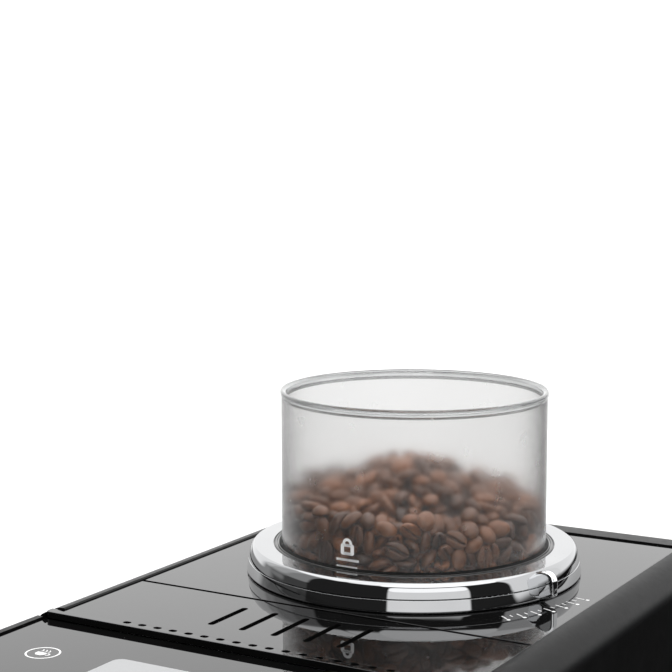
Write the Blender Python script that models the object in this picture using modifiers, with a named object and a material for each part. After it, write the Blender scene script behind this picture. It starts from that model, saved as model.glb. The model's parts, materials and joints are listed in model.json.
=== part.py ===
"""Bean to cup coffee machine: one solid object for each sub-part, in metres, +Z up, front towards -Y."""

import math

import bmesh
import bpy
from mathutils import Euler, Vector

for old in list(bpy.data.objects):
    bpy.data.objects.remove(old, do_unlink=True)

MM = 0.001

# ---- driving dimensions, millimetres ----
DECK_Z = 290.0  # glossy top deck
RIM_PROUD = 0.9  # the covers' rim above the deck
DECK_HALF = 102.9  # half width of the deck's recess
SHOULDER_X = 118.0  # half width of the body under the shoulder
BASE_X = 122.5  # half width of the body at its base
COVER_Z0 = 12.0
SHOULDER_R = 14.0
REAR_R = 14.0
FRONT_R = 5.0  # edge radius of the front head
WALL = 3.0
FRONT_Y = -158.6
REAR_Y = 215.0
DECK_REAR_Y = 190.6
RING_Y = 88.0  # hopper, collar and grinder axis
SEAM_Y = 0.6
LID_FRONT_Y = -63.6
HEAD_TOP = 287.6
GLASS_TOP = 286.7
HEAD_Z0 = 205.0
TRAY_FRONT_Y = -215.0

COLLAR_R = 83.2
COLLAR_TOP_R = 69.9
COLLAR_H = 13.7
COLLAR_SPLIT = 6.9  # parting line between the collar's foot and its domed top
TAB_ANGLE = -16.3  # grip tab, at the fifth of the seven long marks of the grind scale
HOPPER_R = 65.6
HOPPER_WALL = 2.4
HOPPER_TOP = 90.6
HOPPER_LIP = 87.0

GEAR_MODULE = 1.5
GEAR_TEETH = 44
PINION_TEETH = 12
GEAR_GAP = 0.25
GAP = 0.3

SLOT_STEP = 16.5
SLOT_Y = (-43.5, -14.0)
SLOT_W = 2.9
DOT_STEP = 8.34
DOT_Y = -59.2
DOT_COUNT = 17

DOOR_Y = (-28.0, 74.0)
DOOR_Z = (44.0, 234.0)
TANK_Y = (62.0, 178.0)
TANK_Z = (32.0, 258.0)

# ---- collections and materials ----
scene = bpy.context.scene
parts = bpy.data.collections.new("bean_to_cup_coffee_machine")
cutters = bpy.data.collections.new("cutters")
scene.collection.children.link(parts)
scene.collection.children.link(cutters)
cutters.hide_render = True


def material(name, colour, roughness, metallic=0.0, transmission=0.0):
    mat = bpy.data.materials.new(name)
    mat.use_nodes = True
    shader = mat.node_tree.nodes["Principled BSDF"]
    shader.inputs["Base Color"].default_value = (*colour, 1.0)
    shader.inputs["Roughness"].default_value = roughness
    shader.inputs["Metallic"].default_value = metallic
    shader.inputs["Transmission Weight"].default_value = transmission
    mat.diffuse_color = (*colour, 1.0)
    return mat


LOOKS = {
    "satin_black": ((0.018, 0.018, 0.019), 0.38, 0.0, 0.0),
    "gloss_black": ((0.006, 0.006, 0.007), 0.05, 0.0, 0.0),
    "chrome": ((0.86, 0.87, 0.88), 0.05, 1.0, 0.0),
    "frosted": ((0.86, 0.86, 0.85), 0.45, 0.0, 0.8),
    "clear": ((0.9, 0.92, 0.92), 0.05, 0.0, 0.95),
    "smoke": ((0.12, 0.13, 0.14), 0.08, 0.0, 0.8),
    "grey_plastic": ((0.16, 0.16, 0.17), 0.5, 0.0, 0.0),
    "dark_plastic": ((0.04, 0.04, 0.042), 0.5, 0.0, 0.0),
    "rubber": ((0.02, 0.02, 0.02), 0.85, 0.0, 0.0),
    "steel": ((0.62, 0.62, 0.63), 0.3, 1.0, 0.0),
    "brass": ((0.72, 0.5, 0.24), 0.3, 1.0, 0.0),
    "aluminium": ((0.6, 0.6, 0.62), 0.35, 1.0, 0.0),
    "red": ((0.6, 0.03, 0.02), 0.4, 0.0, 0.0),
    "board": ((0.02, 0.12, 0.05), 0.45, 0.0, 0.0),
    "ceramic": ((0.8, 0.79, 0.76), 0.35, 0.0, 0.0),
    "silicone": ((0.75, 0.74, 0.7), 0.6, 0.0, 0.0),
}


# ---- modelling helpers; every length given in millimetres ----
def add(name, data, where=(0, 0, 0), mat=None, collection=parts):
    obj = bpy.data.objects.new(name, data)
    obj.location = Vector(where) * MM
    collection.objects.link(obj)
    if mat:
        data.materials.append(material(name, *LOOKS[mat]))
    return obj


def bevel(obj, width, segments=2, method="ANGLE"):
    mod = obj.modifiers.new("Bevel", "BEVEL")
    mod.width = width * MM
    mod.segments = segments
    mod.limit_method = method
    mod.angle_limit = math.radians(40)
    mod.use_clamp_overlap = True
    return obj


def boolean(obj, other, operation="DIFFERENCE"):
    mod = obj.modifiers.new("Boolean", "BOOLEAN")
    mod.operation = operation
    mod.solver = "EXACT"
    mod.object = other
    for held in list(other.users_collection):
        held.objects.unlink(other)
    cutters.objects.link(other)
    other.hide_render = True
    other.display_type = "WIRE"
    return obj


def box(name, lo, hi, mat=None, round_=0.0, segments=2):
    lo, hi = Vector(lo), Vector(hi)
    mesh = bpy.data.meshes.new(name)
    bm = bmesh.new()
    bmesh.ops.create_cube(bm, size=1.0)
    bmesh.ops.scale(bm, vec=(hi - lo) * MM, verts=bm.verts)
    bm.to_mesh(mesh)
    bm.free()
    obj = add(name, mesh, (lo + hi) / 2, mat)
    if round_:
        bevel(obj, round_, segments)
    return obj


def cyl(name, base, radius, height, mat=None, axis="Z", sides=24, radius2=None, round_=0.0):
    mesh = bpy.data.meshes.new(name)
    bm = bmesh.new()
    bmesh.ops.create_cone(
        bm,
        cap_ends=True,
        segments=sides,
        radius1=radius * MM,
        radius2=(radius if radius2 is None else radius2) * MM,
        depth=height * MM,
    )
    bmesh.ops.translate(bm, vec=(0, 0, height / 2 * MM), verts=bm.verts)
    bm.to_mesh(mesh)
    bm.free()
    for face in mesh.polygons:
        face.use_smooth = len(face.vertices) == 4
    obj = add(name, mesh, base, mat)
    obj.rotation_euler = {"Z": (0, 0, 0), "X": (0, math.pi / 2, 0), "Y": (-math.pi / 2, 0, 0)}[axis]
    if round_:
        bevel(obj, round_, 1)
    return obj


def lathe(name, profile, where, mat=None, steps=32, closed=False):
    """A turned shape: (radius, height) points. A closed profile is a ring, an open one starts and ends on the axis."""
    area = sum(a[0] * b[1] - b[0] * a[1] for a, b in zip(profile, profile[1:] + profile[:1]))
    if area > 0:  # outer side runs top to bottom, so that the faces point outwards
        profile = profile[::-1]
    mesh = bpy.data.meshes.new(name)
    bm = bmesh.new()
    verts = [bm.verts.new((r * MM, 0, z * MM)) for r, z in profile]
    for a, b in zip(verts, verts[1:] + (verts[:1] if closed else [])):
        bm.edges.new((a, b))
    bm.to_mesh(mesh)
    bm.free()
    obj = add(name, mesh, where, mat)
    mod = obj.modifiers.new("Screw", "SCREW")
    mod.axis = "Z"
    mod.angle = math.tau
    mod.steps = mod.render_steps = steps
    mod.use_merge_vertices = True
    mod.merge_threshold = 0.00001
    mod.use_smooth_shade = True
    return obj


def plate(name, outline, middle, thickness, mat=None, plane="XY", holes=()):
    """A flat outline with holes, extruded both ways from middle, as a mesh."""
    curve = bpy.data.curves.new(name + "_outline", "CURVE")
    curve.dimensions = "2D"
    curve.fill_mode = "BOTH"
    curve.extrude = thickness / 2 * MM
    for ring in (outline, *holes):
        spline = curve.splines.new("POLY")
        spline.points.add(len(ring) - 1)
        for point, (x, y) in zip(spline.points, ring):
            point.co = (x * MM, y * MM, 0, 1)
        spline.use_cyclic_u = True
    obj = bpy.data.objects.new(name, curve)
    obj.location = Vector(middle) * MM
    obj.rotation_euler = {
        "XY": (0, 0, 0),
        "XZ": (math.pi / 2, 0, 0),
        "YZ": (math.pi / 2, 0, math.pi / 2),
    }[plane]
    parts.objects.link(obj)
    return as_mesh(obj, mat)


def as_mesh(obj, mat=None):
    bpy.context.view_layer.update()
    graph = bpy.context.evaluated_depsgraph_get()
    mesh = bpy.data.meshes.new_from_object(obj.evaluated_get(graph))
    name, curve = obj.name, obj.data
    made = bpy.data.objects.new(name + "_mesh", mesh)
    made.matrix_world = obj.matrix_world.copy()
    parts.objects.link(made)
    bm = bmesh.new()
    bm.from_mesh(mesh)
    bmesh.ops.remove_doubles(bm, verts=bm.verts, dist=0.000002)
    bmesh.ops.recalc_face_normals(bm, faces=bm.faces)
    bm.to_mesh(mesh)
    bm.free()
    bpy.data.objects.remove(obj, do_unlink=True)
    bpy.data.curves.remove(curve)
    made.name = name
    mesh.name = name
    if mat:
        mesh.materials.clear()
        mesh.materials.append(material(name, *LOOKS[mat]))
    return made


def tube(name, points, radius, mat=None):
    """A pipe along a smooth curve through the points."""
    curve = bpy.data.curves.new(name, "CURVE")
    curve.dimensions = "3D"
    curve.bevel_depth = radius * MM
    curve.bevel_resolution = 2
    curve.use_fill_caps = True
    line = smooth_path([Vector(p) for p in points], 5)
    spline = curve.splines.new("POLY")
    spline.points.add(len(line) - 1)
    for point, p in zip(spline.points, line):
        point.co = (*(p * MM), 1)
    obj = bpy.data.objects.new(name, curve)
    parts.objects.link(obj)
    return as_mesh(obj, mat)


def smooth_path(points, per):
    """Catmull-Rom points through the given ones."""
    ends = [points[0] * 2 - points[1], *points, points[-1] * 2 - points[-2]]
    out = []
    for a, b, c, d in zip(ends, ends[1:], ends[2:], ends[3:]):
        for i in range(per):
            t = i / per
            out.append(
                0.5
                * (2 * b + (c - a) * t + (2 * a - 5 * b + 4 * c - d) * t * t + (3 * b - a - 3 * c + d) * t**3)
            )
    return [*out, points[-1]]


def circle(x, y, radius, count=32, start=0.0):
    return [
        (x + radius * math.cos(start + math.tau * i / count), y + radius * math.sin(start + math.tau * i / count))
        for i in range(count)
    ]


def rect(x0, y0, x1, y1):
    return [(x0, y0), (x1, y0), (x1, y1), (x0, y1)]


def rounded(x0, y0, x1, y1, radius, count=4):
    out = []
    for cx, cy, start in (
        (x1 - radius, y1 - radius, 0),
        (x0 + radius, y1 - radius, 90),
        (x0 + radius, y0 + radius, 180),
        (x1 - radius, y0 + radius, 270),
    ):
        out += [
            (cx + radius * math.cos(math.radians(start + 90 * i / count)), cy + radius * math.sin(math.radians(start + 90 * i / count)))
            for i in range(count + 1)
        ]
    return out


def half_width(z):
    return SHOULDER_X + (DECK_Z + RIM_PROUD - SHOULDER_R - z) * (BASE_X - SHOULDER_X) / (
        DECK_Z + RIM_PROUD - SHOULDER_R - COVER_Z0
    )


def body_block(name, y0, y1, z0, z1, inset, edge_r, rounded_edges, segments=5):
    """A block with the body's draft; the named edges carry a bevel weight."""
    mesh = bpy.data.meshes.new(name)
    bm = bmesh.new()
    bmesh.ops.create_cube(bm, size=1.0)
    for v in bm.verts:
        side, back, top = v.co.x > 0, v.co.y > 0, v.co.z > 0
        z = z1 if top else z0
        x = half_width(z) - inset
        v.co = Vector((x if side else -x, y1 if back else y0, z)) * MM
    weight = bm.edges.layers.float.new("bevel_weight_edge")
    for edge in bm.edges:
        mid = (edge.verts[0].co + edge.verts[1].co) / 2 / MM
        along = edge.verts[0].co - edge.verts[1].co
        top = abs(mid.z - z1) < 0.01
        back = abs(mid.y - y1) < 0.01
        front = abs(mid.y - y0) < 0.01
        run = max(range(3), key=lambda i: abs(along[i]))
        kind = {
            (1, True): "side_top",
            (2, True): "rear_upright",
        }.get((run, top if run == 1 else back))
        if run == 0 and top:
            kind = "rear_top" if back else "front_top" if front else None
        if run == 2 and front:
            kind = "front_upright"
        edge[weight] = 1.0 if kind in rounded_edges else 0.0
    bm.to_mesh(mesh)
    bm.free()
    obj = add(name, mesh)
    mod = obj.modifiers.new("Bevel", "BEVEL")
    mod.width = edge_r * MM
    mod.segments = segments
    mod.limit_method = "WEIGHT"
    return obj


def gear_outline(teeth, start):
    """Straight-flanked teeth with room to mesh; one tooth is centred at start degrees."""
    pitch = teeth * GEAR_MODULE / 2
    root, tip = pitch - 1.25 * GEAR_MODULE, pitch + 0.72 * GEAR_MODULE
    step = math.tau / teeth
    out = []
    for i in range(teeth):
        mid = math.radians(start) + i * step
        out += [
            (r * math.cos(mid + share * step), r * math.sin(mid + share * step))
            for r, share in ((root, -0.30), (tip, -0.11), (tip, 0.11), (root, 0.30))
        ]
    return out


def turned(name, profile, start, end, mat, steps=16):
    """A ring profile (radius, distance along) turned about the line from start to end."""
    obj = lathe(name, profile, start, mat, steps, closed=True)
    obj.rotation_euler = (Vector(end) - Vector(start)).to_track_quat("Z", "Y").to_euler()
    return obj


# ---- outer covers, cut from one drafted shell ----
EDGES = ("side_top", "rear_top", "rear_upright")


def shell(name):
    outer = body_block(name, FRONT_Y, REAR_Y, COVER_Z0, DECK_Z + RIM_PROUD, 0, SHOULDER_R, EDGES)
    inner = body_block(name + "_inner", FRONT_Y - 20, REAR_Y - WALL, COVER_Z0 - 5, DECK_Z + RIM_PROUD - WALL, WALL, SHOULDER_R - WALL, EDGES, 4)
    boolean(outer, inner)
    boolean(outer, box(name + "_top_opening", (-DECK_HALF, FRONT_Y - 20, 270), (DECK_HALF, DECK_REAR_Y, 310)))
    boolean(outer, box(name + "_front_opening", (-DECK_HALF + 10, FRONT_Y - 20, 0), (DECK_HALF - 10, FRONT_Y + 60, 310)))
    return outer


def finish_part(obj, mat):
    obj.data.materials.append(material(obj.name, *LOOKS[mat]))
    return obj


COVER_REAR = DECK_REAR_Y - 0.6
for side, name in ((-1, "side_cover_left"), (1, "side_cover_right")):
    cover = finish_part(shell(name), "satin_black")
    far = -140 * side
    boolean(cover, box(name + "_half", (min(far, side * 90.0), -300, -10), (max(far, side * 90.0), 300, 400)))
    boolean(cover, box(name + "_rear", (-200, COVER_REAR, -10), (200, 300, 400)))
    boolean(cover, box(name + "_head", (-200, FRONT_Y - 30, HEAD_Z0 - GAP), (200, LID_FRONT_Y, 400)))
    boolean(cover, box(name + "_lip", (-200, LID_FRONT_Y - 1, 286.6), (200, -58.0, 400)))
    if side > 0:
        boolean(cover, box(name + "_door", (100, DOOR_Y[0] - 0.6, DOOR_Z[0] - 0.6), (140, DOOR_Y[1] + 0.6, DOOR_Z[1] + 0.6)))
    else:
        boolean(cover, box(name + "_tank", (-140, TANK_Y[0] - 1.6, TANK_Z[0] - 11.6), (-100, TANK_Y[1] + 1.6, TANK_Z[1] + 9.6)))

rear = finish_part(shell("rear_cover"), "satin_black")
boolean(rear, box("rear_front", (-200, -300, -10), (200, COVER_REAR + GAP, 400)))
for i in range(9):
    boolean(rear, box(f"rear_vent_{i}", (-48, 205, 150 + 9 * i), (48, 225, 153.5 + 9 * i)))
boolean(rear, box("rear_inlet", (60.4, 205, 28.4), (87.6, 225, 49.6)))
boolean(rear, box("rear_switch", (25, 205, 26.5), (45, 225, 53.5)))

door = finish_part(shell("service_door"), "satin_black")
boolean(door, box("door_region", (100, DOOR_Y[0], DOOR_Z[0]), (140, DOOR_Y[1], DOOR_Z[1])), "INTERSECT")
boolean(door, box("door_notch", (110, DOOR_Y[0] - 5, 125), (140, DOOR_Y[0] + 7, 153)))

panel = finish_part(shell("tank_panel"), "satin_black")
boolean(panel, box("panel_region", (-140, TANK_Y[0] - 1, TANK_Z[0] - 11), (-100, TANK_Y[1] + 1, TANK_Z[1] + 9)), "INTERSECT")
boolean(panel, box("panel_grip", (-140, 104, 236), (-100, 136, 256), round_=4))

# ---- base ----
box("base_pan", (-117, -150, 6), (117, 204, 22), "dark_plastic")
boolean(bpy.data.objects["base_pan"], box("base_pan_inside", (-114.5, -170, 10), (114.5, 201, 40)))
for name, x, y in (
    ("foot_front_left", -95, -125),
    ("foot_front_right", 95, -125),
    ("foot_rear_left", -95, 180),
    ("foot_rear_right", 95, 180),
):
    cyl(name, (x, y, 0), 11, 5.7, "rubber", sides=20, round_=1)

frame = box("inner_frame", (-113, -20, 10.3), (113, -17, 152), "grey_plastic")
boolean(frame, box("frame_shelf", (-84, -74, 58.8), (84, -19, 61.4)), "UNION")
boolean(frame, box("frame_post_left", (-113, -20, 150), (-104, -12, 278.6)), "UNION")
boolean(frame, box("frame_post_right", (104, -20, 150), (113, -12, 278.6)), "UNION")
boolean(frame, box("frame_foot", (-113, -20, 10.3), (113, -17.5, 14)), "UNION")

top = plate(
    "top_frame",
    rect(-101, -60, 101, 188),
    (0, 0, 281),
    4,
    "grey_plastic",
    holes=[circle(0, RING_Y, 73, 40), rect(38, -52, 86, -8)],
)

# ---- top: deck, lid, head and display ----
plate(
    "top_deck",
    rect(-DECK_HALF + GAP, SEAM_Y + 0.3, DECK_HALF - GAP, DECK_REAR_Y - GAP),
    (0, 0, DECK_Z - 1.5),
    3,
    "gloss_black",
    holes=[circle(0, RING_Y, 71.2, 48)],
)

lid_holes = [
    rounded((i - 2) * SLOT_STEP - SLOT_W / 2, SLOT_Y[0], (i - 2) * SLOT_STEP + SLOT_W / 2, SLOT_Y[1], SLOT_W / 2 - 0.01, 2)
    for i in range(5)
] + [
    rounded((i - (DOT_COUNT - 1) / 2) * DOT_STEP - 1.8, DOT_Y - 1.3, (i - (DOT_COUNT - 1) / 2) * DOT_STEP + 1.8, DOT_Y + 1.3, 1.25, 2)
    for i in range(DOT_COUNT)
]
W = DECK_HALF - GAP
plate(
    "deck_lid",
    [(-110, LID_FRONT_Y), (110, LID_FRONT_Y), (110, -58.4), (W, -58.4), (W, SEAM_Y - 0.5), (-W, SEAM_Y - 0.5), (-W, -58.4), (-110, -58.4)],
    (0, 0, DECK_Z - 1.5),
    3,
    "gloss_black",
    holes=lid_holes,
)

head = finish_part(body_block("front_head", FRONT_Y, LID_FRONT_Y - GAP, HEAD_Z0, HEAD_TOP, 0, FRONT_R, ("side_top", "front_top", "front_upright"), 3), "satin_black")
boolean(head, body_block("head_inside", FRONT_Y + WALL, LID_FRONT_Y + 20, HEAD_Z0 + WALL, 300, WALL, 1, ()))
boolean(head, box("head_spout_hole", (-33.5, -138, 195), (33.5, -70, 215)))
ledge = box("head_ledge", (-112.8, FRONT_Y + 1, 279.5), (112.8, LID_FRONT_Y - GAP - 0.2, 282.8))
boolean(head, ledge, "UNION")
boolean(head, box("head_ledge_opening", (-60, FRONT_Y + 8, 270), (60, LID_FRONT_Y + 5, 290)))
frame_top = box("head_rim", (-114, FRONT_Y + 1, 279.5), (114, LID_FRONT_Y - GAP - 0.2, HEAD_TOP))
boolean(frame_top, box("head_recess", (-110.5, FRONT_Y + 4.6, 270), (110.5, LID_FRONT_Y + 5, 300)))
boolean(head, frame_top, "UNION")

box("display_glass", (-110.2, FRONT_Y + 4.9, 283.1), (110.2, LID_FRONT_Y - GAP, GLASS_TOP), "gloss_black", 0.4, 1)
box("display_module", (-50, -148, 274), (50, -80, 282.8), "dark_plastic")

# ---- cup bay and spout ----
bay = box("cup_bay_wall", (-114, -155.4, 20), (114, -75, HEAD_Z0 - GAP), "dark_plastic")
boolean(bay, body_block("bay_flange", FRONT_Y + 0.4, FRONT_Y + 5, 20, HEAD_Z0 - GAP, WALL + 0.4, 1, ()), "UNION")
boolean(bay, box("bay_inside", (-111, -180, 10), (111, -78, 230)))
boolean(bay, box("bay_lower", (-80.5, -90, 10), (80.5, -60, 147.4)))
boolean(bay, box("bay_tray", (-106, -90, 10), (106, -60, 61.8)))

box("spout_rail", (-18, -83.8, 152), (18, -78.3, 262), "steel", 1, 1)
head_block = box("spout_head", (-30, -132, 160), (30, -84.2, 203), "gloss_black", 5, 3)
for name, x in (("spout_nozzle_left", -12), ("spout_nozzle_right", 12)):
    lathe(name, [(6.5, 159.7), (6.0, 148), (2.6, 148), (2.6, 159.7)], (x, -116, 0), "chrome", 16, closed=True)
lathe("hot_water_spout", [(8, 204.6), (8, 186), (5, 180), (5, 168), (2.6, 168), (2.6, 204.6)], (-78, -116, 0), "chrome", 16, closed=True)

# ---- drip tray and grounds ----
tray = box("drip_tray", (-104, TRAY_FRONT_Y, 14), (104, -80, 58), "satin_black")
tray.data.attributes.new("bevel_weight_edge", "FLOAT", "EDGE")
for edge in tray.data.edges:
    a, b = (tray.data.vertices[i].co for i in edge.vertices)
    if abs(a.z - b.z) > 0.01 and a.y < 0:
        tray.data.attributes["bevel_weight_edge"].data[edge.index].value = 1.0
bevel(tray, 22, 5, "WEIGHT")
boolean(tray, plate("tray_inside", rounded(-101, TRAY_FRONT_Y + 3, 101, -83, 19, 4), (0, 0, 50), 67))
ledge = plate("tray_ledge", rounded(-102, TRAY_FRONT_Y + 2, 102, -82, 20, 4), (0, 0, 35), 40.6, holes=[rounded(-99, TRAY_FRONT_Y + 5, 99, -85, 17, 4)])
boolean(tray, ledge, "UNION")

bars = []
for row in range(2):
    for i in range(15):
        x = -84 + 12 * i
        y0, y1 = ((-202, -152), (-146, -92))[row]
        if row == 0 and abs(x) < 7:
            continue
        bars.append(rounded(x - 2, y0, x + 2, y1, 1.99, 1))
plate("drip_grid", rounded(-100.6, TRAY_FRONT_Y + 3.4, 100.6, -83.4, 18.6, 4), (0, 0, 56.9), 2.4, "steel", holes=[*bars, circle(0, -178, 4.2, 12)])
lathe("tray_float", [(0, 58), (3.2, 57.6), (3.2, 34), (11, 32), (11, 22), (0, 22)], (0, -178, 0), "red", 16)

bin_ = box("grounds_container", (-80, -77.8, 62), (80, -23, 147), "dark_plastic", 2, 1)
boolean(bin_, box("bin_inside", (-77.5, -75, 65), (77.5, -25.5, 160)))
boolean(bin_, box("bin_grip", (-22, -80, 136), (22, -70, 160)))

# ---- water ----
tank = box("water_tank", (-110, TANK_Y[0], TANK_Z[0]), (-58, TANK_Y[1], TANK_Z[1]), "smoke", 4, 2)
boolean(tank, box("tank_inside", (-107.5, TANK_Y[0] + 2.5, TANK_Z[0] + 2.5), (-60.5, TANK_Y[1] - 2.5, TANK_Z[1] + 20)))
tank_lid = box("tank_lid", (-109.2, TANK_Y[0] + 0.5, TANK_Z[1] + GAP), (-58.5, TANK_Y[1] - 0.5, TANK_Z[1] + 4.5), "dark_plastic", 1.2, 1)
boolean(tank_lid, box("tank_lid_port", (-98, 104, 250), (-76, 136, 280)))
lathe("tank_valve", [(0, 31.7), (9, 31.7), (9, 27), (6, 27), (6, 24), (0, 24)], (-87, 120, 0), "rubber", 16)

# ---- brewing ----
brew = plate(
    "brew_frame",
    [(20, 48), (106, 48), (106, 54), (26, 54), (26, 184), (106, 184), (106, 190), (20, 190)],
    (0, 30, 0),
    80,
    "dark_plastic",
    "XZ",
)
boolean(brew, cyl("brew_chute_hole", (48.4, 54.9, 180), 14, 20))
boolean(brew, box("brew_hose_hole", (70, 8, 180), (84, 22, 200)))
brew_x, brew_y, spindle_x = 70, 24, 38
chamber = lathe("brew_chamber", [(0, 70), (21.5, 70), (21.5, 118), (26, 118), (26, 64), (0, 64)], (brew_x, brew_y, 0), "dark_plastic", 32)
arm = box("brew_arm", (spindle_x - 8, brew_y - 8, 66), (brew_x - 22, brew_y + 8, 78))
boolean(chamber, arm, "UNION")
boolean(chamber, cyl("brew_nut", (spindle_x, brew_y, 60), 4.6, 30, sides=16))
lathe("brew_head", [(0, 183.6), (8, 183.6), (8, 142), (20.6, 140), (20.6, 130), (0, 130)], (brew_x, brew_y, 0), "grey_plastic", 32)
lathe("brew_spindle", [(0, 181), (4, 181), (4, 62), (11, 62), (11, 56), (4, 56), (4, 54.4), (0, 54.4)], (spindle_x, brew_y, 0), "brass", 16)
cyl("brew_motor", (2, brew_y, 54), 15, 62, "steel", sides=20, round_=1)
funnel = box("powder_funnel", (40, -50, 226), (84, -10, 284), "dark_plastic")
for vert in funnel.data.vertices:
    if vert.co.z < 0:
        vert.co.x *= 0.55
        vert.co.y *= 0.55
hollow = box("powder_funnel_inside", (42, -48, 220), (82, -12, 290))
for vert in hollow.data.vertices:
    if vert.co.z < 0:
        vert.co.x *= 0.45
        vert.co.y *= 0.45
boolean(funnel, hollow)

# ---- grinding ----
grinder = lathe("grinder_housing", [(56, 262), (56, 206), (9, 206), (9, 212), (50, 212), (50, 262)], (0, RING_Y, 0), "dark_plastic", 40, closed=True)
boolean(grinder, cyl("grinder_outlet", (36, RING_Y - 22, 200), 7, 30, sides=16))
lathe("lower_burr", [(0, 255), (7, 255), (21, 240), (24, 236), (24, 230), (6, 228), (6, 188), (0, 188)], (0, RING_Y, 0), "ceramic", 32)
gear = plate("grinder_gear", gear_outline(GEAR_TEETH, 90.0), (0, RING_Y, 198), 8, "grey_plastic", holes=[circle(0, 0, 6.3, 16)])
centres = (GEAR_TEETH + PINION_TEETH) * GEAR_MODULE / 2 + GEAR_GAP
motor_y = RING_Y + centres
pinion = plate("motor_pinion", gear_outline(PINION_TEETH, -90.0 + 180.0 / PINION_TEETH), (0, motor_y, 198), 8, "steel")
boolean(pinion, cyl("pinion_shaft", (0, motor_y, 190.4), 2.5, 8, sides=12), "UNION")
cyl("grinder_motor", (0, motor_y, 120), 22, 70, "steel", sides=28, round_=1.5)
turned("ground_chute", [(9, 0), (9, 38), (7, 38), (7, 0)], (43, 60, 197), (64, 40, 158), "dark_plastic")
lathe("upper_burr", [(34, 266), (34, 242), (27, 242), (13, 258), (13, 266)], (0, RING_Y, 0), "ceramic", 32, closed=True)
lathe("burr_carrier", [(69.8, 283.6), (69.8, 266.3), (15, 266.3), (15, 269.2), (66.8, 269.2), (66.8, 283.6)], (0, RING_Y, 0), "grey_plastic", 40, closed=True)

# ---- collar ----
collar_profile = [
    (COLLAR_R - 0.3, 0.35),
    (COLLAR_R, 1.2),
    (COLLAR_R - 0.8, COLLAR_SPLIT - 0.8),
    (COLLAR_R - 1.4, COLLAR_SPLIT - 0.4),
]
for turn in (90, 72, 54, 33, 12):
    a = math.radians(turn)
    collar_profile.append((COLLAR_R - 4.8 + 3.7 * math.sin(a), COLLAR_SPLIT + 6.95 * math.cos(a)))
collar_profile += [
    (COLLAR_TOP_R, COLLAR_H),
    (COLLAR_TOP_R - 0.3, COLLAR_H - 0.4),
    (COLLAR_TOP_R - 0.5, COLLAR_H),
    (COLLAR_TOP_R - 2.8, COLLAR_H + 0.4),
    (67.2, COLLAR_H - 3.0),
    (67.2, -6),
    (70.5, -6),
    (70.5, 0.35),
]
lathe("grind_collar", collar_profile, (0, RING_Y, DECK_Z), "chrome", 72, closed=True)
tab = plate(
    "collar_tab",
    [(83.6, 0.7), (90.5, 3.2), (91.1, 4.2), (91.1, 9.5), (90.9, 11.1), (89.9, 12.8), (88.2, 14.0), (86.0, 14.6), (83.6, 14.5)]
    + [(81.6, 13.9), (80.9, 13.4), (81.35, 12.4), (81.9, 11.0), (82.3, 9.4), (82.5, 7.4), (82.9, 6.0)],
    (0, RING_Y, DECK_Z),
    4,
    "chrome",
    "XZ",
)
tab.rotation_euler = Euler((math.pi / 2, 0, math.radians(TAB_ANGLE)), "XYZ")

# ---- hopper ----
inner_r = HOPPER_R - HOPPER_WALL
hopper = lathe(
    "bean_hopper",
    [(0, -15.4), (22, -15.4), (inner_r, -0.5), (inner_r, HOPPER_LIP), (HOPPER_R, HOPPER_LIP), (HOPPER_R, -3), (24, -18), (0, -18)],
    (0, RING_Y, DECK_Z),
    "frosted",
    72,
)
for side in (-1, 1):
    boolean(hopper, cyl(f"hopper_outlet_{side}", (13 * side, RING_Y, 262), 7.5, 30, sides=16))
lathe(
    "hopper_lip",
    [(HOPPER_R + 0.5, HOPPER_TOP - 0.7), (HOPPER_R + 0.5, HOPPER_LIP + 2.2), (HOPPER_R, HOPPER_LIP + GAP), (inner_r, HOPPER_LIP + GAP), (inner_r, HOPPER_TOP - 0.4), (inner_r + 0.5, HOPPER_TOP), (HOPPER_R - 0.3, HOPPER_TOP)],
    (0, RING_Y, DECK_Z),
    "clear",
    72,
    closed=True,
)
shutter = cyl("hopper_shutter", (0, RING_Y, 269.6), 25, 2.0, "dark_plastic", sides=28)
for side in (-1, 1):
    boolean(shutter, cyl(f"shutter_hole_{side}", (13 * side, RING_Y, 262), 7.5, 30, sides=16))

# ---- pump, heater, electrics ----
cyl("water_pump", (72, 98, 62), 19, 76, "brass", "Y", 20, round_=1.5)
box("thermoblock", (40, 98, 100), (104, 172, 146), "aluminium", 3, 1)
cyl("flow_meter", (22, 184, 60), 12, 18, "dark_plastic", sides=20, round_=1)
box("power_board", (-96, -12, 40), (-94, 56, 186), "board")
tube("tank_hose", [(-87, 120, 23.5), (-87, 120, 19), (-80, 122, 14.5), (-50, 134, 14), (-10, 162, 16), (18, 182, 28), (22, 184, 45), (22, 184, 59.6)], 3, "silicone")
tube("pump_hose", [(22, 184, 78.4), (22, 184, 84), (30, 185, 92), (52, 187, 90), (70, 188, 70), (72, 182, 62), (72, 174.4, 62)], 3, "silicone")
tube("brew_hose", [(72, 97.5, 123), (72, 89, 123), (76, 83, 138), (77, 82, 176), (77, 60, 202), (77, 24, 206), (76, 15, 198), (76, 15, 190), (76, 15, 184)], 3, "silicone")

# ---- rear fittings ----
inlet = box("mains_inlet", (61, 198, 29), (87, 214.4, 49), "dark_plastic")
boolean(inlet, box("inlet_recess", (64, 203, 32), (84, 230, 46)))
rocker = box("main_switch", (27, 206, 31), (43, 213.4, 49), "gloss_black", 1, 1)
rocker.rotation_euler = (math.radians(-6), 0, 0)
for name, x in (("cover_screw_left", -60), ("cover_screw_right", 60)):
    screw = cyl(name, (x, 215.0, 258), 3.4, 1.5, "steel", "Y", 12)
    screw.location.y = 0.2133
    boolean(rear, cyl(name + "_seat", (x, 213.0, 258), 3.8, 6, axis="Y", sides=16))
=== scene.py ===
"""Looks of the bean to cup coffee machine: fine shells, finishes, printed marks and the beans in its hopper."""

import json
import math
import random

import bmesh
import bpy
import numpy as np
from mathutils import Euler, Matrix, Quaternion, Vector


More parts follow.
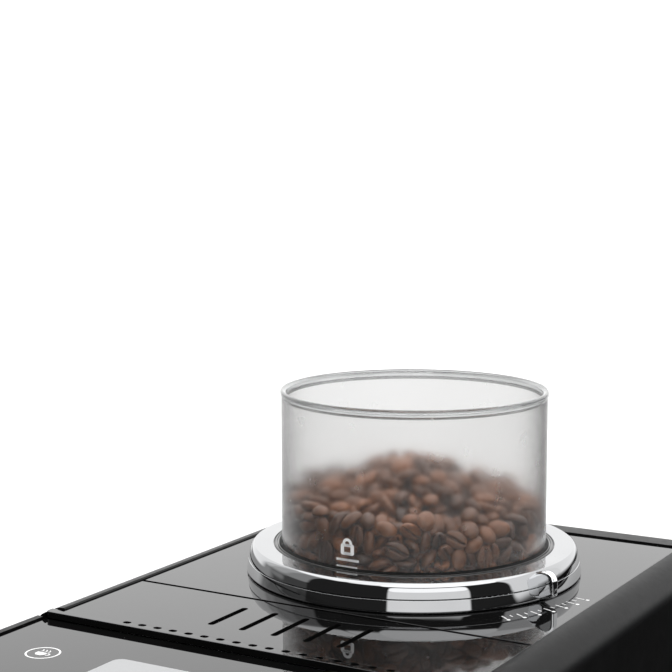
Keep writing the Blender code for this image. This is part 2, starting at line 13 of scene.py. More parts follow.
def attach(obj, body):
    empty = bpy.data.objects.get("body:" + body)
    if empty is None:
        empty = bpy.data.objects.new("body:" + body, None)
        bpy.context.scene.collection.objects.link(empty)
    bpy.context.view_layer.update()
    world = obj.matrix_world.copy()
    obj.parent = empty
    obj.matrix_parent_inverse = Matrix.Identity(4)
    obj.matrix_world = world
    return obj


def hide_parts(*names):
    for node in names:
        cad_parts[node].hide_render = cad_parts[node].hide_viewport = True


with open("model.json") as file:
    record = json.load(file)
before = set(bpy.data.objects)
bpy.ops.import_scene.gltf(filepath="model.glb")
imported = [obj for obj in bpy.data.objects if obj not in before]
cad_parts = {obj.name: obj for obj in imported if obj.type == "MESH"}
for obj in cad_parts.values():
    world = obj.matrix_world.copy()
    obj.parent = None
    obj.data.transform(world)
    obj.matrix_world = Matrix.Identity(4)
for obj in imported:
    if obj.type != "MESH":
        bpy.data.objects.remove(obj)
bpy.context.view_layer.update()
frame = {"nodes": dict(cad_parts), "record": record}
scene = bpy.context.scene
MM = 0.001

# ---- dimensions of the frame, millimetres ----
DECK_Z, RIM_PROUD, DECK_HALF = 290.0, 0.9, 102.9
SHOULDER_X, BASE_X, COVER_Z0 = 118.0, 122.5, 12.0
SHOULDER_R, FRONT_R, WALL = 14.0, 5.0, 3.0
FRONT_Y, REAR_Y, DECK_REAR_Y = -158.6, 215.0, 190.6
RING_Y, SEAM_Y, LID_FRONT_Y = 88.0, 0.6, -63.6
HEAD_TOP, GLASS_TOP, HEAD_Z0 = 287.6, 286.7, 205.0
TRAY_FRONT_Y, GAP = -215.0, 0.3
COLLAR_R, COLLAR_TOP_R, COLLAR_H, COLLAR_SPLIT, TAB_ANGLE = 83.2, 69.9, 13.7, 6.9, -16.3
HOPPER_R, HOPPER_WALL, HOPPER_TOP, HOPPER_LIP = 65.6, 2.4, 90.6, 87.0
SLOT_STEP, SLOT_Y, SLOT_W = 16.5, (-43.5, -14.0), 2.9
DOT_STEP, DOT_Y, DOT_COUNT = 8.34, -59.2, 17
DOOR_Y, DOOR_Z = (-28.0, 74.0), (44.0, 234.0)
TANK_Y, TANK_Z = (62.0, 178.0), (32.0, 258.0)


# ======================================================================
# Camera, light and floor
# ======================================================================
def make_camera():
    yaw, pitch, roll = math.radians(30.279), math.radians(7.192), math.radians(-0.104)
    forward = Vector((-math.sin(yaw) * math.cos(pitch), math.cos(yaw) * math.cos(pitch), -math.sin(pitch)))
    right = Vector((math.cos(yaw), math.sin(yaw), 0.0))
    up = right.cross(forward)
    r2 = right * math.cos(roll) + up * math.sin(roll)
    u2 = -right * math.sin(roll) + up * math.cos(roll)
    data = bpy.data.cameras.new("camera")
    data.sensor_width = 36.0
    data.lens = 90.17
    data.clip_start, data.clip_end = 0.02, 60.0
    data.dof.use_dof = False
    cam = bpy.data.objects.new("camera", data)
    scene.collection.objects.link(cam)
    rotation = Matrix((r2, u2, -forward)).transposed().to_4x4()
    cam.matrix_world = Matrix.Translation((0.38089, -0.64080, 0.51029)) @ rotation
    scene.camera = cam


def math_node(tree, operation, a, b=None, c=None, clamp=False):
    node = tree.nodes.new("ShaderNodeMath")
    node.operation = operation
    node.use_clamp = clamp
    for socket, value in zip(node.inputs, (a, b, c)):
        if value is None:
            continue
        if isinstance(value, (int, float)):
            socket.default_value = value
        else:
            tree.links.new(value, socket)
    return node.outputs[0]


def make_world():
    """A white studio: a bright backdrop, a large softbox in front and a dark room between them."""
    world = bpy.data.worlds.new("studio")
    world.use_nodes = True
    scene.world = world
    tree = world.node_tree
    tree.nodes.clear()
    coord = tree.nodes.new("ShaderNodeTexCoord")
    split = tree.nodes.new("ShaderNodeSeparateXYZ")
    tree.links.new(coord.outputs["Generated"], split.inputs[0])
    x, y, z = split.outputs
    azimuth = math_node(tree, "MULTIPLY", math_node(tree, "ARCTAN2", y, x), 180 / math.pi)
    height = math_node(tree, "MULTIPLY", math_node(tree, "ARCSINE", z), 180 / math.pi)

    def panel(az, el, half_az, half_el, corner, soft):
        """1 inside a rounded panel in the sky, 0 outside."""
        turn = math_node(tree, "SUBTRACT", azimuth, az)
        turn = math_node(tree, "WRAP", turn, 180.0, -180.0)
        dx = math_node(tree, "MAXIMUM", math_node(tree, "SUBTRACT", math_node(tree, "ABSOLUTE", turn), half_az - corner), 0.0)
        rise = math_node(tree, "SUBTRACT", height, el)
        dy = math_node(tree, "MAXIMUM", math_node(tree, "SUBTRACT", math_node(tree, "ABSOLUTE", rise), half_el - corner), 0.0)
        away = math_node(tree, "SQRT", math_node(tree, "ADD", math_node(tree, "MULTIPLY", dx, dx), math_node(tree, "MULTIPLY", dy, dy)))
        ramp = tree.nodes.new("ShaderNodeMapRange")
        ramp.interpolation_type = "SMOOTHSTEP"
        tree.links.new(away, ramp.inputs["Value"])
        ramp.inputs["From Min"].default_value = corner - soft / 2
        ramp.inputs["From Max"].default_value = corner + soft / 2
        ramp.inputs["To Min"].default_value = 1.0
        ramp.inputs["To Max"].default_value = 0.0
        return ramp.outputs[0]

    def lights(panels):
        light = None
        for az, el, half_az, half_el, corner, soft, level in panels:
            share = math_node(tree, "MULTIPLY", panel(az, el, half_az, half_el, corner, soft), level)
            light = share if light is None else math_node(tree, "MAXIMUM", light, share)
        return light

    light = math_node(tree, "MAXIMUM", lights(PANELS), ROOM)
    above = tree.nodes.new("ShaderNodeMapRange")
    tree.links.new(height, above.inputs["Value"])
    above.inputs["From Min"].default_value = -4.0
    above.inputs["From Max"].default_value = 0.0
    light = math_node(tree, "MULTIPLY", light, above.outputs[0])
    light = math_node(tree, "MAXIMUM", light, lights(LOW_PANELS))
    light = math_node(tree, "ADD", light, BELOW)
    ray = tree.nodes.new("ShaderNodeLightPath")
    seen = tree.nodes.new("ShaderNodeBackground")
    seen.inputs["Color"].default_value = (1, 1, 1, 1)
    seen.inputs["Strength"].default_value = BACKDROP
    lit = tree.nodes.new("ShaderNodeBackground")
    lit.inputs["Color"].default_value = (1, 1, 1, 1)
    tree.links.new(light, lit.inputs["Strength"])
    mix = tree.nodes.new("ShaderNodeMixShader")
    tree.links.new(ray.outputs["Is Camera Ray"], mix.inputs[0])
    tree.links.new(lit.outputs[0], mix.inputs[1])
    tree.links.new(seen.outputs[0], mix.inputs[2])
    out = tree.nodes.new("ShaderNodeOutputWorld")
    tree.links.new(mix.outputs[0], out.inputs["Surface"])


# azimuth (from +X towards +Y), elevation, half sizes, corner, soft edge, level
PANELS = [
    (112.0, 30.0, 62.0, 62.0, 20.0, 16.0, 1.45),  # backdrop
    (174.0, -4.0, 26.0, 10.0, 5.0, 7.0, 0.3),  # its dim left end
    (186.0, -5.0, 14.0, 11.0, 5.0, 6.0, 0.18),
    (200.0, -6.0, 22.0, 13.0, 3.0, 3.0, 0.085),  # grey wall on the left, low
    (172.0, 34.0, 14.0, 27.0, 9.0, 16.0, 0.95),  # the same wall higher up, brighter towards the backdrop
    (190.0, 34.0, 14.0, 27.0, 9.0, 16.0, 0.66),
    (203.0, 34.0, 19.0, 27.0, 3.0, 4.0, 0.4),
    (192.0, 54.0, 30.0, 13.0, 6.0, 12.0, 1.1),
    (-52.0, 10.5, 27.5, 23.5, 7.0, 2.0, 1.35),  # front softbox, dim in its lower half
    (-52.0, 24.8, 27.5, 9.2, 5.0, 2.0, 2.15),
    (-40.0, 64.0, 50.0, 25.0, 8.0, 2.5, 2.4),  # large softbox above it
    (31.0, 28.0, 25.0, 30.0, 7.0, 3.0, 1.35),  # right reflector
    (60.0, 90.0, 180.0, 46.0, 6.0, 6.0, 2.1),  # overhead
]
LOW_PANELS = [
    (145.0, -6.0, 42.0, 16.0, 8.0, 14.0, 0.42),  # the table behind on the left
    (190.0, -6.0, 26.0, 16.0, 8.0, 8.0, 0.085),
    (118.0, -14.0, 24.0, 18.0, 8.0, 12.0, 0.98),  # the table behind, seen through the hopper
]
ROOM, BELOW, BACKDROP = 0.02, 0.008, 1.35


def make_floor():
    bm = bmesh.new()
    bmesh.ops.create_circle(bm, cap_ends=True, segments=128, radius=9.0)
    mesh = bpy.data.meshes.new("floor")
    bm.to_mesh(mesh)
    bm.free()
    floor = bpy.data.objects.new("floor", mesh)
    scene.collection.objects.link(floor)
    mat, tree, shader = new_material("pale_floor", (0.82, 0.82, 0.82), 0.7)
    tint = noise_colour(tree, (0.81, 0.81, 0.81), (0.84, 0.84, 0.84), 6.0)
    tree.links.new(tint, shader.inputs["Base Color"])
    shader.inputs["Specular IOR Level"].default_value = 0.2
    mesh.materials.append(mat)
    floor.visible_glossy = False
    floor.visible_transmission = False


# ======================================================================
# Material tools
# ======================================================================
def new_material(name, colour, roughness, metallic=0.0):
    mat = bpy.data.materials.new(name)
    mat.use_nodes = True
    tree = mat.node_tree
    shader = tree.nodes["Principled BSDF"]
    shader.inputs["Base Color"].default_value = (*colour, 1.0)
    shader.inputs["Roughness"].default_value = roughness
    shader.inputs["Metallic"].default_value = metallic
    mat.diffuse_color = (*colour, 1.0)
    return mat, tree, shader


def place(tree, stretch=(1, 1, 1), turn=(0, 0, 0)):
    coord = tree.nodes.new("ShaderNodeTexCoord")
    mapping = tree.nodes.new("ShaderNodeMapping")
    mapping.inputs["Scale"].default_value = stretch
    mapping.inputs["Rotation"].default_value = turn
    tree.links.new(coord.outputs["Object"], mapping.inputs["Vector"])
    return mapping.outputs[0]


def noise(tree, scale, detail=3.0, rough=0.5, vector=None, distortion=0.0):
    node = tree.nodes.new("ShaderNodeTexNoise")
    node.inputs["Scale"].default_value = scale
    node.inputs["Detail"].default_value = detail
    node.inputs["Roughness"].default_value = rough
    node.inputs["Distortion"].default_value = distortion
    tree.links.new(vector or place(tree), node.inputs["Vector"])
    return node.outputs["Fac"]


def ramp(tree, value, low, high, start=0.3, end=0.7):
    """A number that runs from low to high as value runs from start to end."""
    node = tree.nodes.new("ShaderNodeMapRange")
    tree.links.new(value, node.inputs["Value"])
    node.inputs["From Min"].default_value = start
    node.inputs["From Max"].default_value = end
    node.inputs["To Min"].default_value = low
    node.inputs["To Max"].default_value = high
    return node.outputs[0]


def mix_colour(tree, share, a, b):
    node = tree.nodes.new("ShaderNodeMix")
    node.data_type = "RGBA"
    for socket, value in ((node.inputs["Factor"], share), (node.inputs[6], a), (node.inputs[7], b)):
        if isinstance(value, (int, float)):
            socket.default_value = value
        elif isinstance(value, tuple):
            socket.default_value = (*value, 1.0)
        else:
            tree.links.new(value, socket)
    return node.outputs[2]


def noise_colour(tree, a, b, scale, **more):
    return mix_colour(tree, ramp(tree, noise(tree, scale, **more), 0.0, 1.0), a, b)


def bump(tree, shader, height, strength, distance, under=None):
    node = tree.nodes.new("ShaderNodeBump")
    node.inputs["Strength"].default_value = strength
    node.inputs["Distance"].default_value = distance
    tree.links.new(height, node.inputs["Height"])
    if under is not None:
        tree.links.new(under, node.inputs["Normal"])
    if shader is not None:
        tree.links.new(node.outputs[0], shader.inputs["Normal"])
    return node.outputs[0]


_made = {}


def finish(name):
    """Each finish of the machine, made once."""
    if name in _made:
        return _made[name]
    mat = FINISHES[name](name)
    _made[name] = mat
    return mat


def satin_black(name):
    mat, tree, shader = new_material(name, (0.004, 0.004, 0.0042), 0.42)
    shader.inputs["Specular IOR Level"].default_value = 0.12
    tint = noise_colour(tree, (0.0034, 0.0034, 0.0036), (0.0052, 0.0052, 0.0054), 90.0, detail=5)
    tree.links.new(tint, shader.inputs["Base Color"])
    tree.links.new(ramp(tree, noise(tree, 260.0, 6, 0.6), 0.31, 0.38), shader.inputs["Roughness"])
    shader.inputs["IOR"].default_value = 1.46
    grain = noise(tree, 3600.0, 2.0, 0.5)
    bump(tree, shader, grain, 0.16, 0.00006)
    return mat


def gloss_black(name, base=0.0035, ior=1.6, rough=(0.012, 0.03)):
    mat, tree, shader = new_material(name, (base, base, base * 1.05), 0.02)
    tint = noise_colour(tree, (base * 0.8,) * 3, (base * 1.3,) * 3, 35.0, detail=4)
    tree.links.new(tint, shader.inputs["Base Color"])
    smear = noise(tree, 14.0, 6.0, 0.62, distortion=0.6)
    tree.links.new(ramp(tree, smear, rough[0], rough[1], 0.35, 0.7), shader.inputs["Roughness"])
    shader.inputs["IOR"].default_value = ior
    bump(tree, shader, noise(tree, 60.0, 2.0, 0.4), 0.03, 0.00002)
    return mat


def display_black(name):
    return gloss_black(name, 0.003, 1.5, (0.01, 0.022))


def chrome(name, level=0.44):
    mat, tree, shader = new_material(name, (level, level * 1.01, level * 1.027), 0.03, 1.0)
    tint = noise_colour(tree, (level * 0.966, level * 0.977, level * 0.993), (level * 1.034, level * 1.045, level * 1.061), 40.0, detail=5)
    tree.links.new(tint, shader.inputs["Base Color"])
    tree.links.new(ramp(tree, noise(tree, 120.0, 6.0, 0.6), 0.015, 0.04), shader.inputs["Roughness"])
    bump(tree, shader, noise(tree, 45.0, 2.0, 0.4), 0.025, 0.00003)
    return mat


# A lighter copy of the chrome, for the grip tab: painted highlight, so the tab reads brighter than the collar's chrome.
def chrome_painted_bright(name):
    return chrome(name, 0.86)


# the dark ring round the foot of the hopper wall
def foot_ring_black(name):
    mat, tree, shader = new_material(name, (0.003, 0.003, 0.003), 0.6)
    tree.links.new(noise_colour(tree, (0.002, 0.002, 0.002), (0.005, 0.005, 0.005), 300.0, detail=6), shader.inputs["Base Color"])
    shader.inputs["Specular IOR Level"].default_value = 0.12
    tree.links.new(ramp(tree, noise(tree, 400.0, 6.0), 0.5, 0.65), shader.inputs["Roughness"])
    bump(tree, shader, noise(tree, 1800.0, 4.0, 0.6), 0.2, 0.00008)
    return mat


def frosted(name):
    mat, tree, shader = new_material(name, (0.945, 0.945, 0.942), 0.26)
    tint = noise_colour(tree, (0.935, 0.935, 0.932), (0.954, 0.954, 0.951), 30.0, detail=4)
    tree.links.new(tint, shader.inputs["Base Color"])
    shader.inputs["Transmission Weight"].default_value = 0.975
    shader.inputs["IOR"].default_value = 1.25
    shader.inputs["Specular IOR Level"].default_value = 0.3
    shader.inputs["Coat Weight"].default_value = 0.45
    shader.inputs["Coat Roughness"].default_value = 0.38
    shader.inputs["Coat IOR"].default_value = 1.5
    tree.links.new(ramp(tree, noise(tree, 90.0, 3.0, 0.5), 0.25, 0.275), shader.inputs["Roughness"])
    return mat


def clear_plastic(name):
    mat, tree, shader = new_material(name, (0.95, 0.955, 0.955), 0.03)
    tint = noise_colour(tree, (0.94, 0.945, 0.945), (0.965, 0.97, 0.97), 60.0)
    tree.links.new(tint, shader.inputs["Base Color"])
    shader.inputs["Transmission Weight"].default_value = 1.0
    shader.inputs["IOR"].default_value = 1.49
    tree.links.new(ramp(tree, noise(tree, 150.0, 4.0), 0.02, 0.06), shader.inputs["Roughness"])
    bump(tree, shader, noise(tree, 80.0, 2.0), 0.04, 0.00003)
    return mat


def lip_plastic(name):
    mat, tree, shader = new_material(name, (0.6, 0.61, 0.61), 0.08)
    tint = noise_colour(tree, (0.57, 0.58, 0.58), (0.63, 0.64, 0.64), 60.0)
    tree.links.new(tint, shader.inputs["Base Color"])
    shader.inputs["Transmission Weight"].default_value = 0.82
    shader.inputs["IOR"].default_value = 1.52
    tree.links.new(ramp(tree, noise(tree, 150.0, 4.0), 0.05, 0.12), shader.inputs["Roughness"])
    return mat


# Painted shade for the slots and dots: a darker, matte black on their walls and rounded edges.
def slot_shade_black(name):
    mat, tree, shader = new_material(name, (0.0015, 0.0015, 0.0015), 0.7)
    tree.links.new(noise_colour(tree, (0.001, 0.001, 0.001), (0.002, 0.002, 0.002), 400.0), shader.inputs["Base Color"])
    shader.inputs["Specular IOR Level"].default_value = 0.05
    tree.links.new(ramp(tree, noise(tree, 700.0, 3.0), 0.65, 0.8), shader.inputs["Roughness"])
    return mat


def smoke_plastic(name):
    mat, tree, shader = new_material(name, (0.34, 0.36, 0.38), 0.05)
    tint = noise_colour(tree, (0.32, 0.34, 0.36), (0.38, 0.4, 0.42), 30.0)
    tree.links.new(tint, shader.inputs["Base Color"])
    shader.inputs["Transmission Weight"].default_value = 0.9
    shader.inputs["IOR"].default_value = 1.49
    tree.links.new(ramp(tree, noise(tree, 120.0, 5.0), 0.03, 0.1), shader.inputs["Roughness"])
    bump(tree, shader, noise(tree, 50.0, 2.0), 0.05, 0.00005)
    return mat


def moulded(name, base, light, rough=(0.42, 0.56), grain=0.22):
    mat, tree, shader = new_material(name, base, rough[0])
    tint = noise_colour(tree, base, light, 60.0, detail=5)
    tree.links.new(tint, shader.inputs["Base Color"])
    tree.links.new(ramp(tree, noise(tree, 180.0, 6.0, 0.6), rough[0], rough[1]), shader.inputs["Roughness"])
    shader.inputs["IOR"].default_value = 1.48
    bump(tree, shader, noise(tree, 2400.0, 3.0, 0.5), grain, 0.00008)
    return mat


def grey_plastic(name):
    return moulded(name, (0.13, 0.13, 0.14), (0.17, 0.17, 0.178))


def dark_plastic(name):
    return moulded(name, (0.018, 0.018, 0.0195), (0.027, 0.027, 0.0285))


def red_plastic(name):
    return moulded(name, (0.48, 0.02, 0.014), (0.58, 0.03, 0.02), (0.25, 0.35), 0.06)


def rubber(name):
    mat, tree, shader = new_material(name, (0.014, 0.014, 0.014), 0.8)
    tree.links.new(noise_colour(tree, (0.011, 0.011, 0.011), (0.022, 0.022, 0.021), 300.0, detail=6), shader.inputs["Base Color"])
    tree.links.new(ramp(tree, noise(tree, 400.0, 6.0), 0.7, 0.9), shader.inputs["Roughness"])
    bump(tree, shader, noise(tree, 1800.0, 4.0, 0.6), 0.35, 0.00012)
    return mat


def silicone(name):
    mat, tree, shader = new_material(name, (0.7, 0.69, 0.64), 0.45)
    tree.links.new(noise_colour(tree, (0.66, 0.65, 0.6), (0.76, 0.75, 0.7), 80.0, detail=4), shader.inputs["Base Color"])
    shader.inputs["Subsurface Weight"].default_value = 0.3
    shader.inputs["Subsurface Radius"].default_value = (0.002, 0.002, 0.0018)
    tree.links.new(ramp(tree, noise(tree, 220.0, 5.0), 0.38, 0.55), shader.inputs["Roughness"])
    bump(tree, shader, noise(tree, 900.0, 3.0), 0.1, 0.00008)
    return mat


def brushed(name, base, light, rough, stretch=(30.0, 2400.0, 2400.0), metallic=1.0, depth=0.00002):
    mat, tree, shader = new_material(name, base, rough[0], metallic)
    lines = noise(tree, 1.0, 4.0, 0.6, vector=place(tree, stretch))
    tree.links.new(mix_colour(tree, ramp(tree, lines, 0.0, 1.0), base, light), shader.inputs["Base Color"])
    tree.links.new(ramp(tree, lines, rough[0], rough[1]), shader.inputs["Roughness"])
    bump(tree, shader, lines, 0.3, depth)
    return mat


def steel(name):
    return brushed(name, (0.5, 0.5, 0.51), (0.62, 0.62, 0.63), (0.22, 0.38))


def brass(name):
    return brushed(name, (0.62, 0.42, 0.17), (0.74, 0.54, 0.26), (0.2, 0.36), (900.0, 900.0, 40.0))


def aluminium(name):
    mat, tree, shader = new_material(name, (0.5, 0.5, 0.52), 0.4, 1.0)
    cast = noise(tree, 700.0, 6.0, 0.65)
    tree.links.new(mix_colour(tree, ramp(tree, cast, 0.0, 1.0), (0.43, 0.43, 0.45), (0.58, 0.58, 0.6)), shader.inputs["Base Color"])
    tree.links.new(ramp(tree, cast, 0.34, 0.56), shader.inputs["Roughness"])
    bump(tree, shader, cast, 0.35, 0.0002)
    return mat


def ceramic(name):
    mat, tree, shader = new_material(name, (0.74, 0.73, 0.7), 0.4)
    tree.links.new(noise_colour(tree, (0.68, 0.67, 0.63), (0.8, 0.79, 0.76), 500.0, detail=6), shader.inputs["Base Color"])
    tree.links.new(ramp(tree, noise(tree, 900.0, 4.0), 0.34, 0.5), shader.inputs["Roughness"])
    bump(tree, shader, noise(tree, 1600.0, 4.0), 0.2, 0.00008)
    return mat


def circuit_board(name):
    mat, tree, shader = new_material(name, (0.012, 0.1, 0.035), 0.3)
    bricks = tree.nodes.new("ShaderNodeTexBrick")
    tree.links.new(place(tree, (1, 1, 1), (0, math.pi / 2, 0)), bricks.inputs["Vector"])
    bricks.inputs["Scale"].default_value = 160.0
    bricks.inputs["Mortar Size"].default_value = 0.05
    bricks.inputs["Color1"].default_value = (0.010, 0.085, 0.03, 1)
    bricks.inputs["Color2"].default_value = (0.014, 0.11, 0.04, 1)
    bricks.inputs["Mortar"].default_value = (0.03, 0.2, 0.08, 1)
    tree.links.new(bricks.outputs["Color"], shader.inputs["Base Color"])
    tree.links.new(ramp(tree, noise(tree, 200.0, 4.0), 0.25, 0.4), shader.inputs["Roughness"])
    bump(tree, shader, bricks.outputs["Fac"], 0.3, 0.00005)
    return mat


def print_white(name, level=0.86, rough=0.5):
    mat, tree, shader = new_material(name, (level,) * 3, rough)
    tree.links.new(noise_colour(tree, (level * 0.95,) * 3, (min(1.0, level * 1.04),) * 3, 1500.0, detail=4), shader.inputs["Base Color"])
    tree.links.new(ramp(tree, noise(tree, 2500.0, 3.0), rough - 0.06, rough + 0.06), shader.inputs["Roughness"])
    bump(tree, shader, noise(tree, 4000.0, 2.0), 0.1, 0.00002)
    return mat


def print_dark(name):
    return print_white(name, 0.06, 0.5)


def lcd_light(name):
    mat, tree, shader = new_material(name, (0.5, 0.5, 0.5), 0.08)
    dots = tree.nodes.new("ShaderNodeTexChecker")
    tree.links.new(place(tree), dots.inputs["Vector"])
    dots.inputs["Scale"].default_value = 5000.0
    dots.inputs["Color1"].default_value = (0.250, 0.254, 0.258, 1)
    dots.inputs["Color2"].default_value = (0.278, 0.282, 0.286, 1)
    tree.links.new(dots.outputs["Color"], shader.inputs["Emission Color"])
    tree.links.new(dots.outputs["Color"], shader.inputs["Base Color"])
    shader.inputs["Emission Strength"].default_value = 0.3
    tree.links.new(ramp(tree, noise(tree, 60.0, 4.0), 0.05, 0.12), shader.inputs["Roughness"])
    return mat


def roasted(name):
    """Roasted beans: brown in many tones, a little oil, and painted shade in the crease: the crease share, in patches,
    darkens the skin to near black.
    """
    mat, tree, shader = new_material(name, (0.07, 0.03, 0.015), 0.4)
    tone = tree.nodes.new("ShaderNodeAttribute")
    tone.attribute_name = "tone"
    cut = tree.nodes.new("ShaderNodeAttribute")
    cut.attribute_name = "crease"
    place_ = place(tree)
    patches = noise(tree, 420.0, 5.0, 0.6, vector=place_)
    dark = mix_colour(tree, tone.outputs["Fac"], (0.016, 0.006, 0.003), (0.230, 0.078, 0.027))
    light = mix_colour(tree, tone.outputs["Fac"], (0.050, 0.019, 0.008), (0.430, 0.168, 0.064))
    skin = mix_colour(tree, ramp(tree, patches, 0.0, 1.0), dark, light)
    # painted shade in the crease: patches where the crease share darkens the skin to near black
    crease_shade_patches = ramp(tree, noise(tree, 1500.0, 3.0, vector=place_), 0.25, 0.95)
    edge = math_node(tree, "MULTIPLY", cut.outputs["Fac"], crease_shade_patches)
    tree.links.new(mix_colour(tree, edge, skin, (0.012, 0.006, 0.0035)), shader.inputs["Base Color"])
    tree.links.new(ramp(tree, noise(tree, 700.0, 4.0, vector=place_), 0.24, 0.42), shader.inputs["Roughness"])
    shader.inputs["IOR"].default_value = 1.5
    wrinkles = noise(tree, 1100.0, 4.0, 0.55, vector=place_, distortion=0.4)
    bump(tree, shader, wrinkles, 0.5, 0.00022)
    return mat


FINISHES = {
    "satin_black": satin_black, "gloss_black": gloss_black, "display_glass": display_black, "chrome": chrome,
    "frosted_plastic": frosted, "clear_plastic": clear_plastic, "smoke_plastic": smoke_plastic,
    "grey_plastic": grey_plastic, "dark_plastic": dark_plastic, "rubber": rubber, "silicone": silicone,
    "steel": steel, "brass": brass, "aluminium": aluminium, "red_plastic": red_plastic,
    "circuit_board": circuit_board, "ceramic": ceramic, "print_white": print_white, "print_dark": print_dark,
    "lcd_light": lcd_light, "roasted": roasted, "lip_plastic": lip_plastic, "slot_shade_black": slot_shade_black,
    "chrome_painted_bright": chrome_painted_bright, "foot_ring_black": foot_ring_black,
}


# ======================================================================
# Modelling tools; lengths in millimetres
# ======================================================================
def link(name, mesh, finish_name=None):
    obj = bpy.data.objects.new(name, mesh)
    scene.collection.objects.link(obj)
    if finish_name:
        mesh.materials.clear()
        mesh.materials.append(finish(finish_name))
    return obj


def smooth(mesh, angle=30.0):
    mesh.shade_smooth()
    mesh.set_sharp_from_angle(angle=math.radians(angle))


def even(obj):
    """Flat faces keep their own normal and only the rounded edges shade softly."""
    mod = obj.modifiers.new("Even", "WEIGHTED_NORMAL")
    mod.keep_sharp = True
    mod.weight = 80
    return applied(obj)


def fillet(profile, radius=None, steps=4, closed=True):
    """Rounds the corners of a profile. A point may carry its own radius as a third number."""
    out = []
    n = len(profile)
    for i, point in enumerate(profile):
        p = Vector(point[:2])
        r = point[2] if len(point) > 2 else (radius or 0.0)
        if not closed and i in (0, n - 1):
            out.append(tuple(p))
            continue
        a, b = Vector(profile[i - 1][:2]) - p, Vector(profile[(i + 1) % n][:2]) - p
        if r <= 0 or a.length < 1e-6 or b.length < 1e-6:
            out.append(tuple(p))
            continue
        half = a.angle(b) / 2
        if half > math.radians(88):
            out.append(tuple(p))
            continue
        cut = min(r / math.tan(half), a.length * 0.48, b.length * 0.48)
        start, end = p + a.normalized() * cut, p + b.normalized() * cut
        for k in range(steps + 1):
            t = k / steps
            out.append(tuple(start * (1 - t) ** 2 + p * 2 * t * (1 - t) + end * t**2))
    return out


def turned(name, profile, centre, finish_name, steps=192, angle=28.0, axis_ends=False):
    """A turned ring or, with axis_ends, a form whose profile starts and ends on the axis."""
    area = sum(a[0] * b[1] - b[0] * a[1] for a, b in zip(profile, profile[1:] + profile[:1]))
    if area < 0:
        profile = profile[::-1]
    n = len(profile)
    bm = bmesh.new()
    rings = []
    for r, z in profile:
        if axis_ends and r < 1e-6:
            v = bm.verts.new((0, 0, z * MM))
            rings.append([v] * steps)
        else:
            rings.append([bm.verts.new((r * MM * math.cos(math.tau * k / steps), r * MM * math.sin(math.tau * k / steps), z * MM)) for k in range(steps)])
    pairs = list(zip(rings, rings[1:])) + ([] if axis_ends else [(rings[-1], rings[0])])
    for low, high in pairs:
        for k in range(steps):
            corner = [low[k], low[(k + 1) % steps], high[(k + 1) % steps], high[k]]
            seen = []
            for v in corner:
                if v not in seen:
                    seen.append(v)
            if len(seen) > 2:
                bm.faces.new(seen)
    bmesh.ops.recalc_face_normals(bm, faces=bm.faces)
    bmesh.ops.translate(bm, verts=bm.verts, vec=Vector(centre) * MM)
    mesh = bpy.data.meshes.new(name)
    bm.to_mesh(mesh)
    bm.free()
    smooth(mesh, angle)
    return even(link(name, mesh, finish_name))


def plate(name, outline, middle, thickness, finish_name=None, plane="XY", holes=(), edge=0.0, steps=2):
    """A flat outline with holes and rounded edges, as a mesh in the row frame."""
    curve = bpy.data.curves.new(name + "_outline", "CURVE")
    curve.dimensions = "2D"
    curve.fill_mode = "BOTH"
    curve.extrude = (thickness / 2 - edge) * MM
    if edge:
        curve.bevel_depth = edge * MM
        curve.bevel_resolution = steps
        curve.offset = -edge * MM
    for ring in (outline, *holes):
        spline = curve.splines.new("POLY")
        spline.points.add(len(ring) - 1)
        for point, (x, y) in zip(spline.points, ring):
            point.co = (x * MM, y * MM, 0, 1)
        spline.use_cyclic_u = True
    obj = bpy.data.objects.new(name, curve)
    scene.collection.objects.link(obj)
    obj.location = Vector(middle) * MM
    obj.rotation_euler = {"XY": (0, 0, 0), "XZ": (math.pi / 2, 0, 0), "YZ": (math.pi / 2, 0, math.pi / 2)}[plane]
    return baked(obj, finish_name)


def baked(obj, finish_name=None, angle=30.0):
    """The object as a plain mesh in the row frame, modifiers applied."""
    bpy.context.view_layer.update()
    graph = bpy.context.evaluated_depsgraph_get()
    mesh = bpy.data.meshes.new_from_object(obj.evaluated_get(graph))
    mesh.transform(obj.matrix_world)
    bm = bmesh.new()
    bm.from_mesh(mesh)
    bmesh.ops.remove_doubles(bm, verts=bm.verts, dist=0.000002)
    bmesh.ops.recalc_face_normals(bm, faces=bm.faces)
    bm.to_mesh(mesh)
    bm.free()
    name = obj.name
    bpy.data.objects.remove(obj, do_unlink=True)
    mesh.name = name
    smooth(mesh, angle)
    return even(link(name, mesh, finish_name))


def circle(x, y, radius, count=128, start=0.0):
    return [(x + radius * math.cos(start + math.tau * i / count), y + radius * math.sin(start + math.tau * i / count)) for i in range(count)]


def rect(x0, y0, x1, y1):
    return [(x0, y0), (x1, y0), (x1, y1), (x0, y1)]


def rounded(x0, y0, x1, y1, radius, count=6):
    out = []
    for cx, cy, start in ((x1 - radius, y1 - radius, 0), (x0 + radius, y1 - radius, 90), (x0 + radius, y0 + radius, 180), (x1 - radius, y0 + radius, 270)):
        out += [(cx + radius * math.cos(math.radians(start + 90 * i / count)), cy + radius * math.sin(math.radians(start + 90 * i / count))) for i in range(count + 1)]
    return out


def cube(name, lo, hi):
    lo, hi = Vector(lo), Vector(hi)
    bm = bmesh.new()
    bmesh.ops.create_cube(bm, size=1.0)
    bmesh.ops.scale(bm, vec=(hi - lo) * MM, verts=bm.verts)
    bmesh.ops.translate(bm, vec=(lo + hi) / 2 * MM, verts=bm.verts)
    mesh = bpy.data.meshes.new(name)
    bm.to_mesh(mesh)
    bm.free()
    return link(name, mesh)


def bevel(obj, width, segments=3, angle=32.0, method="ANGLE"):
    mod = obj.modifiers.new("Bevel", "BEVEL")
    mod.width = width * MM
    mod.segments = segments
    mod.limit_method = method
    mod.angle_limit = math.radians(angle)
    mod.use_clamp_overlap = True
    return obj


